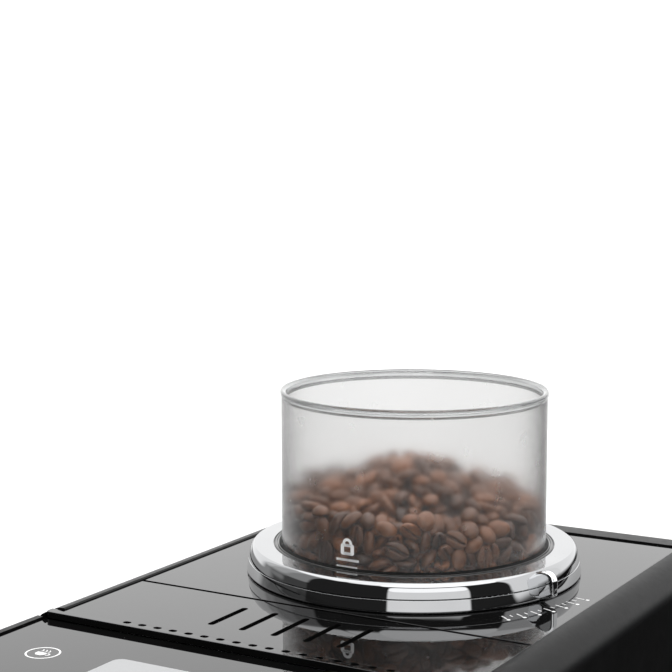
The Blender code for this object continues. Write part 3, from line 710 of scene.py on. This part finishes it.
def boolean(obj, other, operation="DIFFERENCE"):
    mod = obj.modifiers.new("Boolean", "BOOLEAN")
    mod.operation = operation
    mod.solver = "EXACT"
    mod.object = other
    bpy.context.view_layer.update()
    graph = bpy.context.evaluated_depsgraph_get()
    mesh = bpy.data.meshes.new_from_object(obj.evaluated_get(graph))
    obj.modifiers.clear()
    obj.data = mesh
    bpy.data.objects.remove(other, do_unlink=True)
    return obj


def applied(obj):
    bpy.context.view_layer.update()
    graph = bpy.context.evaluated_depsgraph_get()
    mesh = bpy.data.meshes.new_from_object(obj.evaluated_get(graph))
    obj.modifiers.clear()
    obj.data = mesh
    return obj


def half_width(z):
    return SHOULDER_X + (DECK_Z + RIM_PROUD - SHOULDER_R - z) * (BASE_X - SHOULDER_X) / (DECK_Z + RIM_PROUD - SHOULDER_R - COVER_Z0)


def body_block(name, y0, y1, z0, z1, inset, edge_r, rounded_edges, segments=5):
    """A block with the body's draft; the named edges are rounded."""
    bm = bmesh.new()
    bmesh.ops.create_cube(bm, size=1.0)
    for v in bm.verts:
        side, back, top = v.co.x > 0, v.co.y > 0, v.co.z > 0
        z = z1 if top else z0
        x = half_width(z) - inset
        v.co = Vector((x if side else -x, y1 if back else y0, z)) * MM
    weight = bm.edges.layers.float.new("bevel_weight_edge")
    for e in bm.edges:
        mid = (e.verts[0].co + e.verts[1].co) / 2 / MM
        along = e.verts[0].co - e.verts[1].co
        top, back, front = abs(mid.z - z1) < 0.01, abs(mid.y - y1) < 0.01, abs(mid.y - y0) < 0.01
        run = max(range(3), key=lambda i: abs(along[i]))
        kind = None
        if run == 1 and top:
            kind = "side_top"
        elif run == 0 and top:
            kind = "rear_top" if back else "front_top" if front else None
        elif run == 2:
            kind = "rear_upright" if back else "front_upright" if front else None
        e[weight] = 1.0 if kind in rounded_edges else 0.0
    mesh = bpy.data.meshes.new(name)
    bm.to_mesh(mesh)
    bm.free()
    obj = link(name, mesh)
    if rounded_edges:
        bevel(obj, edge_r, segments, method="WEIGHT")
    return applied(obj)


def tidy(obj, width, segments=2, angle=32.0, finish_name=None, keep=0.0):
    """Merges flat faces, rounds sharp edges and shades smooth."""
    mesh = obj.data
    for attribute in ("custom_normal", "bevel_weight_edge"):
        if attribute in mesh.attributes:
            mesh.attributes.remove(mesh.attributes[attribute])
    bm = bmesh.new()
    bm.from_mesh(mesh)
    bmesh.ops.remove_doubles(bm, verts=bm.verts, dist=0.000004)
    bmesh.ops.dissolve_limit(bm, angle_limit=math.radians(0.6), verts=bm.verts, edges=bm.edges)
    bm.to_mesh(mesh)
    bm.free()
    if width:
        bevel(obj, width, segments, angle)
        applied(obj)
    smooth(obj.data, 30.0)
    even(obj)
    obj.data.materials.clear()
    if finish_name:
        obj.data.materials.append(finish(finish_name))
    return obj


def put(piece, body, slot, *nodes):
    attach(piece, body)
    if nodes:
        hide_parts(*nodes)
    return piece


BODY_OF = {n: b for b, ns in frame["record"]["behaviour"]["bodies"].items() for n in ns}
SLOT_OF = {s["node"]: s["material_slot"] for s in frame["record"]["subparts"]}
standing = set()


def stand_for(piece, *nodes, finish_name=None):
    """The piece stands for CAD nodes: same body as the first node; the nodes are hidden."""
    standing.update(nodes)
    return put(piece, BODY_OF[nodes[0]], SLOT_OF[nodes[0]], *nodes)


def refined(node, width=0.4, segments=2, angle=35.0):
    """A copy of a CAD node's solid with rounded edges and smooth round faces."""
    source = frame["nodes"][node]
    mesh = source.data.copy()
    obj = bpy.data.objects.new(node + "_fine", mesh)
    scene.collection.objects.link(obj)
    mesh.name = node + "_fine"
    tidy(obj, width, segments, angle, SLOT_OF[node])
    obj.data.name = node + "_fine"
    return stand_for(obj, node)


# ======================================================================
# Top: deck, lid, display
# ======================================================================
def shade_slot_walls(lid, y0, y1):
    """The walls and rounded edges of the slots and dots take a darker, matte black: painted shade in the holes, black
    right up to the surface.
    """
    lid.data.materials.append(finish("slot_shade_black"))
    for face in lid.data.polygons:
        y = face.center.y / MM
        if y0 < y < y1 and abs(face.center.x / MM) < DECK_HALF - 3 and abs(face.normal.z) < 0.97:
            face.material_index = 1


def make_top():
    deck = plate("deck_plate", rect(-DECK_HALF + GAP, SEAM_Y + 1.0, DECK_HALF - GAP, DECK_REAR_Y - GAP), (0, 0, DECK_Z - 1.5), 3.0,
                 "gloss_black", holes=[circle(0, RING_Y, 71.2, 256)], edge=0.25)
    stand_for(deck, "top_deck")

    holes = [rounded((i - 2) * SLOT_STEP - SLOT_W / 2, SLOT_Y[0], (i - 2) * SLOT_STEP + SLOT_W / 2, SLOT_Y[1], SLOT_W / 2 - 0.01, 8) for i in range(5)]
    holes += [rounded((i - (DOT_COUNT - 1) / 2) * DOT_STEP - 1.8, DOT_Y - 1.3, (i - (DOT_COUNT - 1) / 2) * DOT_STEP + 1.8, DOT_Y + 1.3, 1.25, 8) for i in range(DOT_COUNT)]
    w = DECK_HALF - GAP
    outline = [(-110, LID_FRONT_Y), (110, LID_FRONT_Y), (110, -58.4), (w, -58.4), (w, SEAM_Y - 1.2), (-w, SEAM_Y - 1.2), (-w, -58.4), (-110, -58.4)]
    outline = fillet([(*p, r) for p, r in zip(outline, (4.0, 4.0, 0.6, 0.3, 0.3, 0.3, 0.3, 0.6))], steps=6)
    lid = plate("lid_plate", outline, (0, 0, DECK_Z - 1.5), 3.0, "gloss_black", holes=holes, edge=0.22)
    shade_slot_walls(lid, SLOT_Y[0] - 16.5, SLOT_Y[1] + 1.0)
    stand_for(lid, "deck_lid")

    glass = plate("glass_panel", rounded(-110.2, FRONT_Y + 4.9, 110.2, LID_FRONT_Y - GAP, 1.2), (0, 0, (GLASS_TOP + 283.1) / 2), GLASS_TOP - 283.1,
                  "display_glass", edge=0.35)
    stand_for(glass, "display_glass")


def flat_print(name, shapes, top, body, finish_name, thickness=0.05):
    """Printed marks: a thin skin just above the surface at top."""
    pieces = []
    for i, (outline, holes) in enumerate(shapes):
        pieces.append(plate(f"{name}_{i}", outline, (0, 0, top + thickness / 2 + 0.01), thickness, None, holes=holes))
    made = joined(name, pieces, finish_name)
    return put(made, body, None)


def joined(name, pieces, finish_name):
    bm = bmesh.new()
    for piece in pieces:
        mesh = piece.data
        mesh.transform(piece.matrix_world)
        bm.from_mesh(mesh)
        bpy.data.objects.remove(piece, do_unlink=True)
    mesh = bpy.data.meshes.new(name)
    bm.to_mesh(mesh)
    bm.free()
    smooth(mesh)
    return link(name, mesh, finish_name)


def bar(x0, y0, x1, y1, width):
    """A thin straight stroke as an outline."""
    a, b = Vector((x0, y0)), Vector((x1, y1))
    side = Vector((-(b - a).y, (b - a).x)).normalized() * width / 2
    return [tuple(a - side), tuple(b - side), tuple(b + side), tuple(a + side)]


def make_marks():
    # grind scale beside the grip tab: seven long marks with dots, short ones between
    shapes = []
    angles = [-36.8, -31.9, -27.0, -22.1, -17.1, -12.2, -7.0]
    for i, angle in enumerate(angles):
        c, s = math.cos(math.radians(angle)), math.sin(math.radians(angle))
        shapes.append((bar(92.2 * c, RING_Y + 92.2 * s, 96.8 * c, RING_Y + 96.8 * s, 0.6), ()))
        shapes.append((circle(98.5 * c, RING_Y + 98.5 * s, 0.9, 24), ()))
        if i + 1 < len(angles):
            half = (angle + angles[i + 1]) / 2
            c, s = math.cos(math.radians(half)), math.sin(math.radians(half))
            shapes.append((bar(92.5 * c, RING_Y + 92.5 * s, 95.0 * c, RING_Y + 95.0 * s, 0.55), ()))
    flat_print("grind_scale", shapes, DECK_Z, "chassis", "print_white")

    # touch key: a ring with a steaming cup in it
    cx, cy = -77.5, -103.9
    cup = [(cx - 3.2, cy + 0.6), (cx + 2.2, cy + 0.6), (cx + 2.0, cy - 1.4), (cx + 0.9, cy - 3.0), (cx - 1.9, cy - 3.0), (cx - 3.0, cy - 1.4)]
    ear = [(cx + 2.9 + 1.5 * math.cos(math.radians(a)), cy - 0.8 + 1.3 * math.sin(math.radians(a))) for a in range(-110, 111, 20)]
    ear += [(cx + 2.9 + 0.85 * math.cos(math.radians(a)), cy - 0.8 + 0.7 * math.sin(math.radians(a))) for a in range(110, -111, -20)]
    shapes = [(circle(cx, cy, 7.7, 96), [circle(cx, cy, 6.9, 96)]), (fillet(cup, 0.7), ()), (ear, ())]
    for dx in (-2.2, -0.4, 1.4):
        wave = [(cx + dx + 0.45 * math.sin(t * 1.1), cy + 1.5 + t * 0.62) for t in range(5)]
        shapes.append(([(x - 0.28, y) for x, y in wave] + [(x + 0.28, y) for x, y in reversed(wave)], ()))
    flat_print("touch_key_mark", shapes, GLASS_TOP, "chassis", "print_white", 0.03)

    lcd = rounded(-45.4, -146.0, 45.4, -93.2, 4.5, 10)
    flat_print("lcd_window", [(lcd, ())], GLASS_TOP, "chassis", "lcd_light", 0.03)


# ======================================================================
# Covers and head
# ======================================================================
EDGES = ("side_top", "rear_top", "rear_upright")


def shell(name, segments=14):
    outer = body_block(name, FRONT_Y, REAR_Y, COVER_Z0, DECK_Z + RIM_PROUD, 0, SHOULDER_R, EDGES, segments)
    boolean(outer, body_block(name + "_inner", FRONT_Y - 20, REAR_Y - WALL, COVER_Z0 - 5, DECK_Z + RIM_PROUD - WALL, WALL, SHOULDER_R - WALL, EDGES, 6))
    boolean(outer, cube(name + "_top_opening", (-DECK_HALF, FRONT_Y - 20, 270), (DECK_HALF, DECK_REAR_Y, 310)))
    boolean(outer, cube(name + "_front_opening", (-DECK_HALF + 10, FRONT_Y - 20, 0), (DECK_HALF - 10, FRONT_Y + 60, 310)))
    return outer


def make_covers():
    rear_edge = DECK_REAR_Y - 0.6
    for side, node in ((-1, "side_cover_left"), (1, "side_cover_right")):
        cover = shell(node + "_fine")
        far = -140 * side
        boolean(cover, cube("half", (min(far, side * 90.0), -300, -10), (max(far, side * 90.0), 300, 400)))
        boolean(cover, cube("rear", (-200, rear_edge, -10), (200, 300, 400)))
        boolean(cover, cube("head", (-200, FRONT_Y - 30, HEAD_Z0 - GAP), (200, LID_FRONT_Y, 400)))
        boolean(cover, cube("lip", (-110.3, LID_FRONT_Y - 1, 286.6), (110.3, -58.0, 400)))
        if side > 0:
            boolean(cover, cube("door", (100, DOOR_Y[0] - 0.6, DOOR_Z[0] - 0.6), (140, DOOR_Y[1] + 0.6, DOOR_Z[1] + 0.6)))
        else:
            boolean(cover, cube("tank", (-140, TANK_Y[0] - 1.6, TANK_Z[0] - 11.6), (-100, TANK_Y[1] + 1.6, TANK_Z[1] + 9.6)))
        for v in cover.data.vertices:
            if abs(abs(v.co.x / MM) - DECK_HALF) < 0.02 and v.co.z / MM > DECK_Z + RIM_PROUD - 0.02:
                v.co.z = (DECK_Z + 0.35) * MM
        tidy(cover, 0.3, 2, 30.0, "satin_black")
        stand_for(cover, node)

    rear = shell("rear_cover_fine")
    boolean(rear, cube("rear_front", (-200, -300, -10), (200, rear_edge + GAP, 400)))
    for i in range(9):
        boolean(rear, cube("vent", (-48, 205, 150 + 9 * i), (48, 225, 153.5 + 9 * i)))
    boolean(rear, cube("inlet", (60.4, 205, 28.4), (87.6, 225, 49.6)))
    boolean(rear, cube("switch", (25, 205, 26.5), (45, 225, 53.5)))
    tidy(rear, 0.3, 2, 30.0, "satin_black")
    stand_for(rear, "rear_cover")

    head = body_block("front_head_fine", FRONT_Y, LID_FRONT_Y - GAP, HEAD_Z0, HEAD_TOP, 0, FRONT_R, ("side_top", "front_top", "front_upright"), 10)
    boolean(head, body_block("head_inside", FRONT_Y + WALL, LID_FRONT_Y + 20, HEAD_Z0 + WALL, 300, WALL, 1, ()))
    boolean(head, cube("head_spout_hole", (-33.5, -138, 195), (33.5, -70, 215)))
    ledge = cube("head_ledge", (-112.8, FRONT_Y + 1, 279.5), (112.8, LID_FRONT_Y - GAP - 0.2, 282.8))
    boolean(head, ledge, "UNION")
    boolean(head, cube("head_ledge_opening", (-60, FRONT_Y + 8, 270), (60, LID_FRONT_Y + 5, 290)))
    rim = cube("head_rim", (-114, FRONT_Y + 1, 279.5), (114, LID_FRONT_Y - GAP - 0.2, HEAD_TOP))
    boolean(rim, cube("head_recess", (-110.5, FRONT_Y + 4.6, 270), (110.5, LID_FRONT_Y + 5, 300)))
    boolean(head, rim, "UNION")
    tidy(head, 0.25, 2, 30.0, "satin_black")
    stand_for(head, "front_head")


# ======================================================================
# Collar and hopper
# ======================================================================
def make_collar():
    r = COLLAR_R
    split = COLLAR_SPLIT
    profile = [(r - 0.5, 0.35, 0.2), (r - 0.1, 0.9, 0.2), (r - 0.02, 1.4), (r - 0.9, split - 0.72, 0.2), (r - 1.5, split - 0.38), (r - 1.12, split - 0.1, 0.12)]
    # the domed top, from the parting line to the flat ring
    spine = [Vector(p) for p in ((r - 0.95, split), (r - 1.51, split + 3.15), (r - 2.27, COLLAR_H - 0.71), (r - 4.03, COLLAR_H))]
    for k in range(25):
        t = k / 24
        profile.append(tuple(spine[0] * (1 - t) ** 3 + spine[1] * 3 * t * (1 - t) ** 2 + spine[2] * 3 * t * t * (1 - t) + spine[3] * t**3))
    profile += [
        (76.0, COLLAR_H), (COLLAR_TOP_R, COLLAR_H, 0.15), (COLLAR_TOP_R - 0.15, COLLAR_H - 1.1), (67.1, COLLAR_H - 1.1), (67.2, 8.6), (67.2, -6), (70.5, -6), (70.5, 0.35),
    ]
    ring = turned("collar_ring", fillet(profile, steps=5), (0, RING_Y, DECK_Z), "chrome", 320, 40.0)
    stand_for(ring, "grind_collar")

    # the dark ring that lies between the chrome and the hopper
    inlay = [
        (66.95, COLLAR_H - 1.05), (COLLAR_TOP_R - 0.2, COLLAR_H - 1.05), (COLLAR_TOP_R - 0.2, COLLAR_H - 0.95), (69.25, COLLAR_H - 0.9, 0.05), (69.25, COLLAR_H - 0.25, 0.1),
        (69.0, COLLAR_H + 0.05, 0.1), (68.5, COLLAR_H + 0.16, 0.15), (68.08, COLLAR_H, 0.1), (68.0, COLLAR_H - 0.65), (67.78, COLLAR_H - 0.65), (67.7, COLLAR_H + 0.15, 0.1), (67.35, COLLAR_H + 0.36, 0.12), (66.95, COLLAR_H + 0.2, 0.1),
    ]
    put(turned("collar_inlay", fillet(inlay, steps=4), (0, RING_Y, DECK_Z), "gloss_black", 320, 50.0), BODY_OF["grind_collar"], "gloss_black")

    # D-shaped grip tab: a fin that springs from the crease and ends above the deck
    outline = [(80.4, 0.7), (83.6, 0.7), (90.3, 3.0), (91.1, 4.2), (91.1, 9.5), (90.95, 10.9), (90.35, 12.4), (89.3, 13.6), (87.9, 14.35), (86.2, 14.65), (84.0, 14.5), (82.0, 13.95), (80.2, 13.3), (79.0, 12.6), (79.3, 11.0), (79.8, 7.4)]
    # the tab takes the lighter copy of the chrome: painted highlight
    tab = plate("collar_grip", fillet(outline, 1.5), (0, 0, 0), 4.0, "chrome_painted_bright", "XZ", edge=1.2, steps=6)
    tab.data.transform(Matrix.Translation(Vector((0, RING_Y, DECK_Z)) * MM) @ Matrix.Rotation(math.radians(TAB_ANGLE), 4, "Z"))
    smooth(tab.data, 35.0)
    even(tab)
    stand_for(tab, "collar_tab")


def make_hopper():
    r, inner = HOPPER_R, HOPPER_R - HOPPER_WALL
    profile = [
        (0.0, -15.4), (22.0, -15.4), (inner, -0.5, 1.5), (inner, HOPPER_LIP - 0.3), (inner + 0.3, HOPPER_LIP),
        (r - 0.3, HOPPER_LIP), (r, HOPPER_LIP - 0.3), (r, -3.0, 0.8), (24.0, -18.0), (0.0, -18.0),
    ]
    wall = turned("hopper_wall", fillet(profile, steps=3, closed=False), (0, RING_Y, DECK_Z), "frosted_plastic", 256, 30.0, axis_ends=True)
    for side in (-1, 1):
        bm = bmesh.new()
        bmesh.ops.create_cone(bm, cap_ends=True, segments=48, radius1=7.5 * MM, radius2=7.5 * MM, depth=30 * MM)
        bmesh.ops.translate(bm, vec=Vector((13 * side, RING_Y, 277)) * MM, verts=bm.verts)
        mesh = bpy.data.meshes.new("outlet")
        bm.to_mesh(mesh)
        bm.free()
        boolean(wall, link("outlet", mesh))
    wall.data.materials.clear()
    wall.data.materials.append(finish("frosted_plastic"))
    smooth(wall.data, 30.0)
    stand_for(wall, "bean_hopper")

    lip = [(r - 0.1, HOPPER_LIP + 0.3), (r + 0.5, HOPPER_LIP + 1.2), (r + 0.5, HOPPER_LIP + 1.6), (r + 0.1, HOPPER_LIP + 1.85), (r - 0.35, HOPPER_LIP + 1.9), (r - 0.35, HOPPER_LIP + 2.05)]
    for k in range(0, 13):
        a = math.radians(-62 + 202 * k / 12)
        lip.append((r - 0.45 + 0.95 * math.cos(a), HOPPER_TOP - 0.95 + 0.95 * math.sin(a)))
    lip += [(inner + 0.9, HOPPER_TOP - 0.35), (inner + 0.15, HOPPER_TOP - 0.8), (inner - 0.2, HOPPER_TOP - 1.6), (inner - 0.28, HOPPER_LIP - 1.1), (inner - 0.05, HOPPER_LIP - 1.2), (inner - 0.05, HOPPER_LIP + 0.3)]
    rim = turned("hopper_rim_ring", lip, (0, RING_Y, DECK_Z), "lip_plastic", 256, 40.0)
    stand_for(rim, "hopper_lip")

    # a dark ring round the foot of the wall, just above the collar
    foot_ring = [(r + 0.04, 12.7), (r + 1.2, 12.75, 0.1), (r + 1.2, 13.75, 0.2), (r + 0.9, 14.3, 0.2), (r + 0.04, 14.9)]
    put(turned("hopper_foot_ring", fillet(foot_ring, steps=3), (0, RING_Y, DECK_Z), "foot_ring_black", 256, 40.0), "hopper", "rubber")


def wrapped_mark(name, shapes, radius, angle, z0, body, finish_name, lean=0.0):
    """A print on an upright round wall: outlines in (along, up), wrapped about the hopper axis at angle."""
    pieces = []
    for i, (outline, holes) in enumerate(shapes):
        pieces.append(plate(f"{name}_{i}", outline, (0, 0, 0), 0.04, None, holes=holes))
    made = joined(name, pieces, finish_name)
    for v in made.data.vertices:
        u, w, out = v.co.x / MM, v.co.y / MM, v.co.z / MM
        a = math.radians(angle) + u / radius
        rr = radius + 0.03 + out - w * lean
        v.co = Vector((rr * math.cos(a), RING_Y + rr * math.sin(a), DECK_Z + z0 + w)) * MM
    return put(made, body, None)


def make_hopper_marks():
    # padlock with a bar beneath it, a second bar at the dark ring round the foot of the wall, and three dashes that
    # lead to them
    lock = [(rounded(-3.55, 0.0, 3.55, 5.3, 1.0, 6), [rounded(-1.75, 1.35, 1.75, 3.95, 0.2, 4)])]
    outer = [(-2.55, 5.2)] + [(2.55 * math.cos(math.radians(a)), 5.5 + 2.5 * math.sin(math.radians(a))) for a in range(180, -1, -12)] + [(2.55, 5.2)]
    hole = [(-1.15, 5.32)] + [(1.15 * math.cos(math.radians(a)), 5.5 + 1.15 * math.sin(math.radians(a))) for a in range(180, -1, -12)] + [(1.15, 5.32)]
    lock.append((outer, [hole]))
    lock.append((rect(-6.0, -3.0, 6.0, -1.85), ()))
    lock.append((rect(-5.9, -5.95, 5.2, -5.2), ()))
    wrapped_mark("lock_mark", lock, HOPPER_R, -90.4, 20.87, "hopper", "print_white")
    dashes = [(rect(x - w / 2, -0.3, x + w / 2, 0.3), ()) for x, w in ((-8.2, 3.6), (0.0, 3.4), (8.2, 3.2))]
    wrapped_mark("lock_dashes", dashes, HOPPER_R, -115.7, 18.6, "hopper", "print_dark")


# ======================================================================
# Beans
# ======================================================================
def bean_mesh(rings=13, around=22):
    """One roasted bean, long axis X, flat side with its crease down, in millimetres; with its crease share per vertex,
    which sets the painted shade in the crease.
    """
    verts, crease_shade_share, faces = [], [], []
    angles = []
    for k in range(around):
        t = k / around
        a = math.tau * t
        a -= 0.72 * math.sin(a)  # closer together near the crease at angle 0
        angles.append(a - math.pi / 2)
    for i in range(rings + 1):
        u = -math.cos(math.pi * i / rings)
        across = math.sqrt(max(0.0, 1 - u * u)) ** 0.86
        for a in angles:
            y, z = math.cos(a) * across, math.sin(a) * across
            flat = z < 0
            yy = 4.35 * y * (1.0 - 0.10 * u * u)
            zz = (-1.55 * abs(z) ** 0.72 if flat else 3.55 * z)
            wave = 0.34 * math.sin(u * 2.6)
            depth = math.exp(-(((yy - wave) / 0.62) ** 2)) if flat else 0.0
            fade = max(0.0, 1 - abs(u) ** 5)
            zz += 1.35 * depth * fade
            # lips of the crease stand out a little
            lips = math.exp(-(((abs(yy - wave) - 1.25) / 0.7) ** 2)) if flat else 0.0
            zz -= 0.22 * lips * fade
            verts.append((6.1 * u, yy, zz))
            crease_shade_share.append(depth * fade)
    for i in range(rings):
        for k in range(around):
            a, b = i * around + k, i * around + (k + 1) % around
            faces.append((a, b, b + around, a + around))
    return np.array(verts), np.array(crease_shade_share), np.array(faces)


def hull_mesh(name, scale):
    """A coarse bean for the pouring simulation."""
    bm = bmesh.new()
    bmesh.ops.create_icosphere(bm, subdivisions=2, radius=1.0)
    for v in bm.verts:
        v.co = Vector((6.1 * v.co.x, 4.3 * v.co.y, (3.4 if v.co.z > 0 else 1.7) * v.co.z)) * scale
    mesh = bpy.data.meshes.new(name)
    bm.to_mesh(mesh)
    bm.free()
    return mesh


def core_profile():
    """The unseen middle of the heap: (radius, height above the deck)."""
    return [(0.0, -12.0), (24.0, -12.0), (CORE_R, 2.0), (CORE_R, CORE_EDGE), (CORE_R * 0.72, CORE_EDGE + (CORE_TOP - CORE_EDGE) * 0.42), (CORE_R * 0.3, CORE_EDGE + (CORE_TOP - CORE_EDGE) * 0.85), (0.0, CORE_TOP)]


CORE_R, CORE_EDGE, CORE_TOP = 50.0, 26.0, 54.0
BEANS = 730


def heap_height(x, y):
    """Where the surface of the poured heap should end up, height above the deck at hopper coordinates x, y."""
    side = x * math.cos(math.radians(30)) + y * math.sin(math.radians(30))
    return 69.0 - 0.46 * math.hypot(x + 3.0, y - 2.0) - 0.05 * side


def core_height(x, y):
    points = core_profile()
    r = math.hypot(x, y)
    if r >= CORE_R:
        return -1.0
    for (r0, z0), (r1, z1) in zip(points[3:], points[4:]):
        if r1 <= r <= r0:
            return z0 + (z1 - z0) * (r0 - r) / (r0 - r1)
    return CORE_TOP


def strewn(rng, count, stretch, spacing):
    """Places for the beans between core and heap surface, drawn out upwards, no two nearer than spacing."""
    out, cells = [], {}
    tries = 0
    while len(out) < count and tries < 90000:
        tries += 1
        r = 57.0 * math.sqrt(rng.random())
        a = math.tau * rng.random()
        x, y = r * math.cos(a), r * math.sin(a)
        low, high = core_height(x, y), heap_height(x, y)
        z = low + 7.0 + rng.random() * (high - low - 3.0) * stretch
        if CORE_R - 1 < r < CORE_R + 4.5 and z < CORE_EDGE + 6:
            continue
        key = (int(x // spacing), int(y // spacing), int(z // spacing))
        near = [p for i in (-1, 0, 1) for j in (-1, 0, 1) for k in (-1, 0, 1) for p in cells.get((key[0] + i, key[1] + j, key[2] + k), ())]
        if any((p[0] - x) ** 2 + (p[1] - y) ** 2 + (p[2] - z) ** 2 < spacing**2 for p in near):
            continue
        cells.setdefault(key, []).append((x, y, z))
        turn = Euler((rng.uniform(0, math.tau), rng.uniform(0, math.tau), rng.uniform(0, math.tau))).to_quaternion()
        out.append((Vector((x, y, z)), turn))
    return out


def pour(count, seed=7):
    """Drops the beans into the hopper and lets them settle; returns their matrices in the row frame, in millimetres."""
    rng = random.Random(seed)
    k = 0.1  # simulated at 1 unit for 10 mm, because the solver is poor with tiny bodies
    scene.gravity = (0, 0, -98.1)
    bpy.ops.rigidbody.world_add()
    world = scene.rigidbody_world
    held = bpy.data.collections.new("pour")
    world.collection = held
    world.substeps_per_frame = 8
    world.solver_iterations = 12
    made = []

    def passive(name, profile, steps=48):
        obj = turned(name, [(r * k / MM, z * k / MM) for r, z in profile], (0, 0, 0), None, steps, axis_ends=True)
        held.objects.link(obj)
        obj.rigid_body.type = "PASSIVE"
        obj.rigid_body.collision_shape = "MESH"
        obj.rigid_body.friction = 1.0
        obj.rigid_body.restitution = 0.0
        obj.rigid_body.collision_margin = 0.0
        obj.rigid_body.use_margin = True
        made.append(obj)
        return obj

    inner = HOPPER_R - HOPPER_WALL - 0.1
    passive("pour_bowl", [(0.0, -15.4), (22.0, -15.4), (inner, -0.5), (inner, 260.0), (inner + 8, 260.0), (inner + 8, -24.0), (0.0, -24.0)])
    passive("pour_core", core_profile())
    hulls = [hull_mesh(f"pour_bean_{i}", k * s) for i, s in enumerate((0.9, 0.97, 1.04))]
    beans = []
    for i, (spot, turn) in enumerate(strewn(rng, count, POUR_STRETCH, POUR_SPACING)):
        obj = bpy.data.objects.new(f"pour_{i}", hulls[i % 3])
        obj.location = spot * k
        obj.rotation_mode = "QUATERNION"
        obj.rotation_quaternion = turn
        scene.collection.objects.link(obj)
        held.objects.link(obj)
        body = obj.rigid_body
        body.type = "ACTIVE"
        body.collision_shape = "CONVEX_HULL"
        body.mass = 0.15
        body.friction = 0.95
        body.restitution = 0.0
        body.linear_damping = 0.25
        body.angular_damping = 0.6
        body.use_margin = True
        body.collision_margin = 0.004
        beans.append(obj)
    last = POUR_FRAMES
    world.point_cache.frame_start, world.point_cache.frame_end = 1, last
    scene.frame_start, scene.frame_end = 1, last
    for f in range(1, last + 1):
        scene.frame_set(f)
    graph = bpy.context.evaluated_depsgraph_get()
    out = []
    for i, obj in enumerate(beans):
        m = obj.evaluated_get(graph).matrix_world.copy()
        t = m.to_translation() / k
        out.append((t, m.to_quaternion(), (0.9, 0.97, 1.04)[i % 3]))
    bpy.ops.rigidbody.world_remove()
    for obj in beans + made:
        bpy.data.objects.remove(obj, do_unlink=True)
    bpy.data.collections.remove(held)
    scene.frame_set(1)
    return out


POUR_STRETCH, POUR_SPACING, POUR_FRAMES = 2.6, 9.2, 75


def make_beans():
    poured = pour(BEANS)
    base, crease_shade_share, faces = bean_mesh()
    rng = np.random.default_rng(11)
    limit = HOPPER_R - HOPPER_WALL - 0.2
    verts, tones, crease_shade_shares, polys = [], [], [], []
    at = 0
    for t, q, size in poured:
        if t.z < -30 or math.hypot(t.x, t.y) > 70 or t.z > 110:
            continue
        turn = np.array(q.to_matrix())
        grow = size * np.array([rng.uniform(0.92, 1.06), rng.uniform(0.94, 1.05), rng.uniform(0.94, 1.06)])
        v = (base * grow) @ turn.T + np.array(t)
        out = np.hypot(v[:, 0], v[:, 1])
        over = np.maximum(out, limit)
        v[:, 0] *= limit / over
        v[:, 1] *= limit / over
        verts.append(v)
        tones.append(np.full(len(v), rng.beta(1.6, 2.4)))
        crease_shade_shares.append(crease_shade_share)
        polys.append(faces + at)
        at += len(v)
    v = np.concatenate(verts) + np.array([0, RING_Y, DECK_Z])
    f = np.concatenate(polys)
    mesh = bpy.data.meshes.new("coffee_beans")
    mesh.from_pydata((v * MM).tolist(), [], f.tolist())
    mesh.validate()
    # the crease share is the mask of the painted shade in the crease
    for name, values in (("tone", tones), ("crease", crease_shade_shares)):
        layer = mesh.attributes.new(name, "FLOAT", "POINT")
        layer.data.foreach_set("value", np.concatenate(values).astype(np.float32))
    mesh.shade_smooth()
    beans = link("coffee_beans", mesh, "roasted")
    put(beans, "hopper", None)

    core = turned("bean_core", fillet([(*p, 6.0) for p in core_profile()], steps=4, closed=False), (0, RING_Y, DECK_Z), "roasted", 96, 60.0, axis_ends=True)
    put(core, "hopper", None)


# ======================================================================
# Build
# ======================================================================
scene.view_settings.view_transform = "Standard"
make_camera()
make_world()
make_floor()
make_top()
make_marks()
make_covers()
make_collar()
make_hopper()
make_hopper_marks()
make_beans()

WIDTHS = {
    "base_pan": 0.6, "foot_front_left": 0.5, "foot_front_right": 0.5, "foot_rear_left": 0.5, "foot_rear_right": 0.5,
    "spout_head": 0.0, "drip_tray": 0.5, "drip_grid": 0.35, "grinder_gear": 0.15, "motor_pinion": 0.12,
    "tank_hose": 0.0, "pump_hose": 0.0, "brew_hose": 0.0, "cover_screw_left": 0.2, "cover_screw_right": 0.2,
    "service_door": 0.3, "tank_panel": 0.3, "power_board": 0.1,
}
for node in sorted(frame["nodes"]):
    if node not in standing:
        refined(node, WIDTHS.get(node, 0.4))
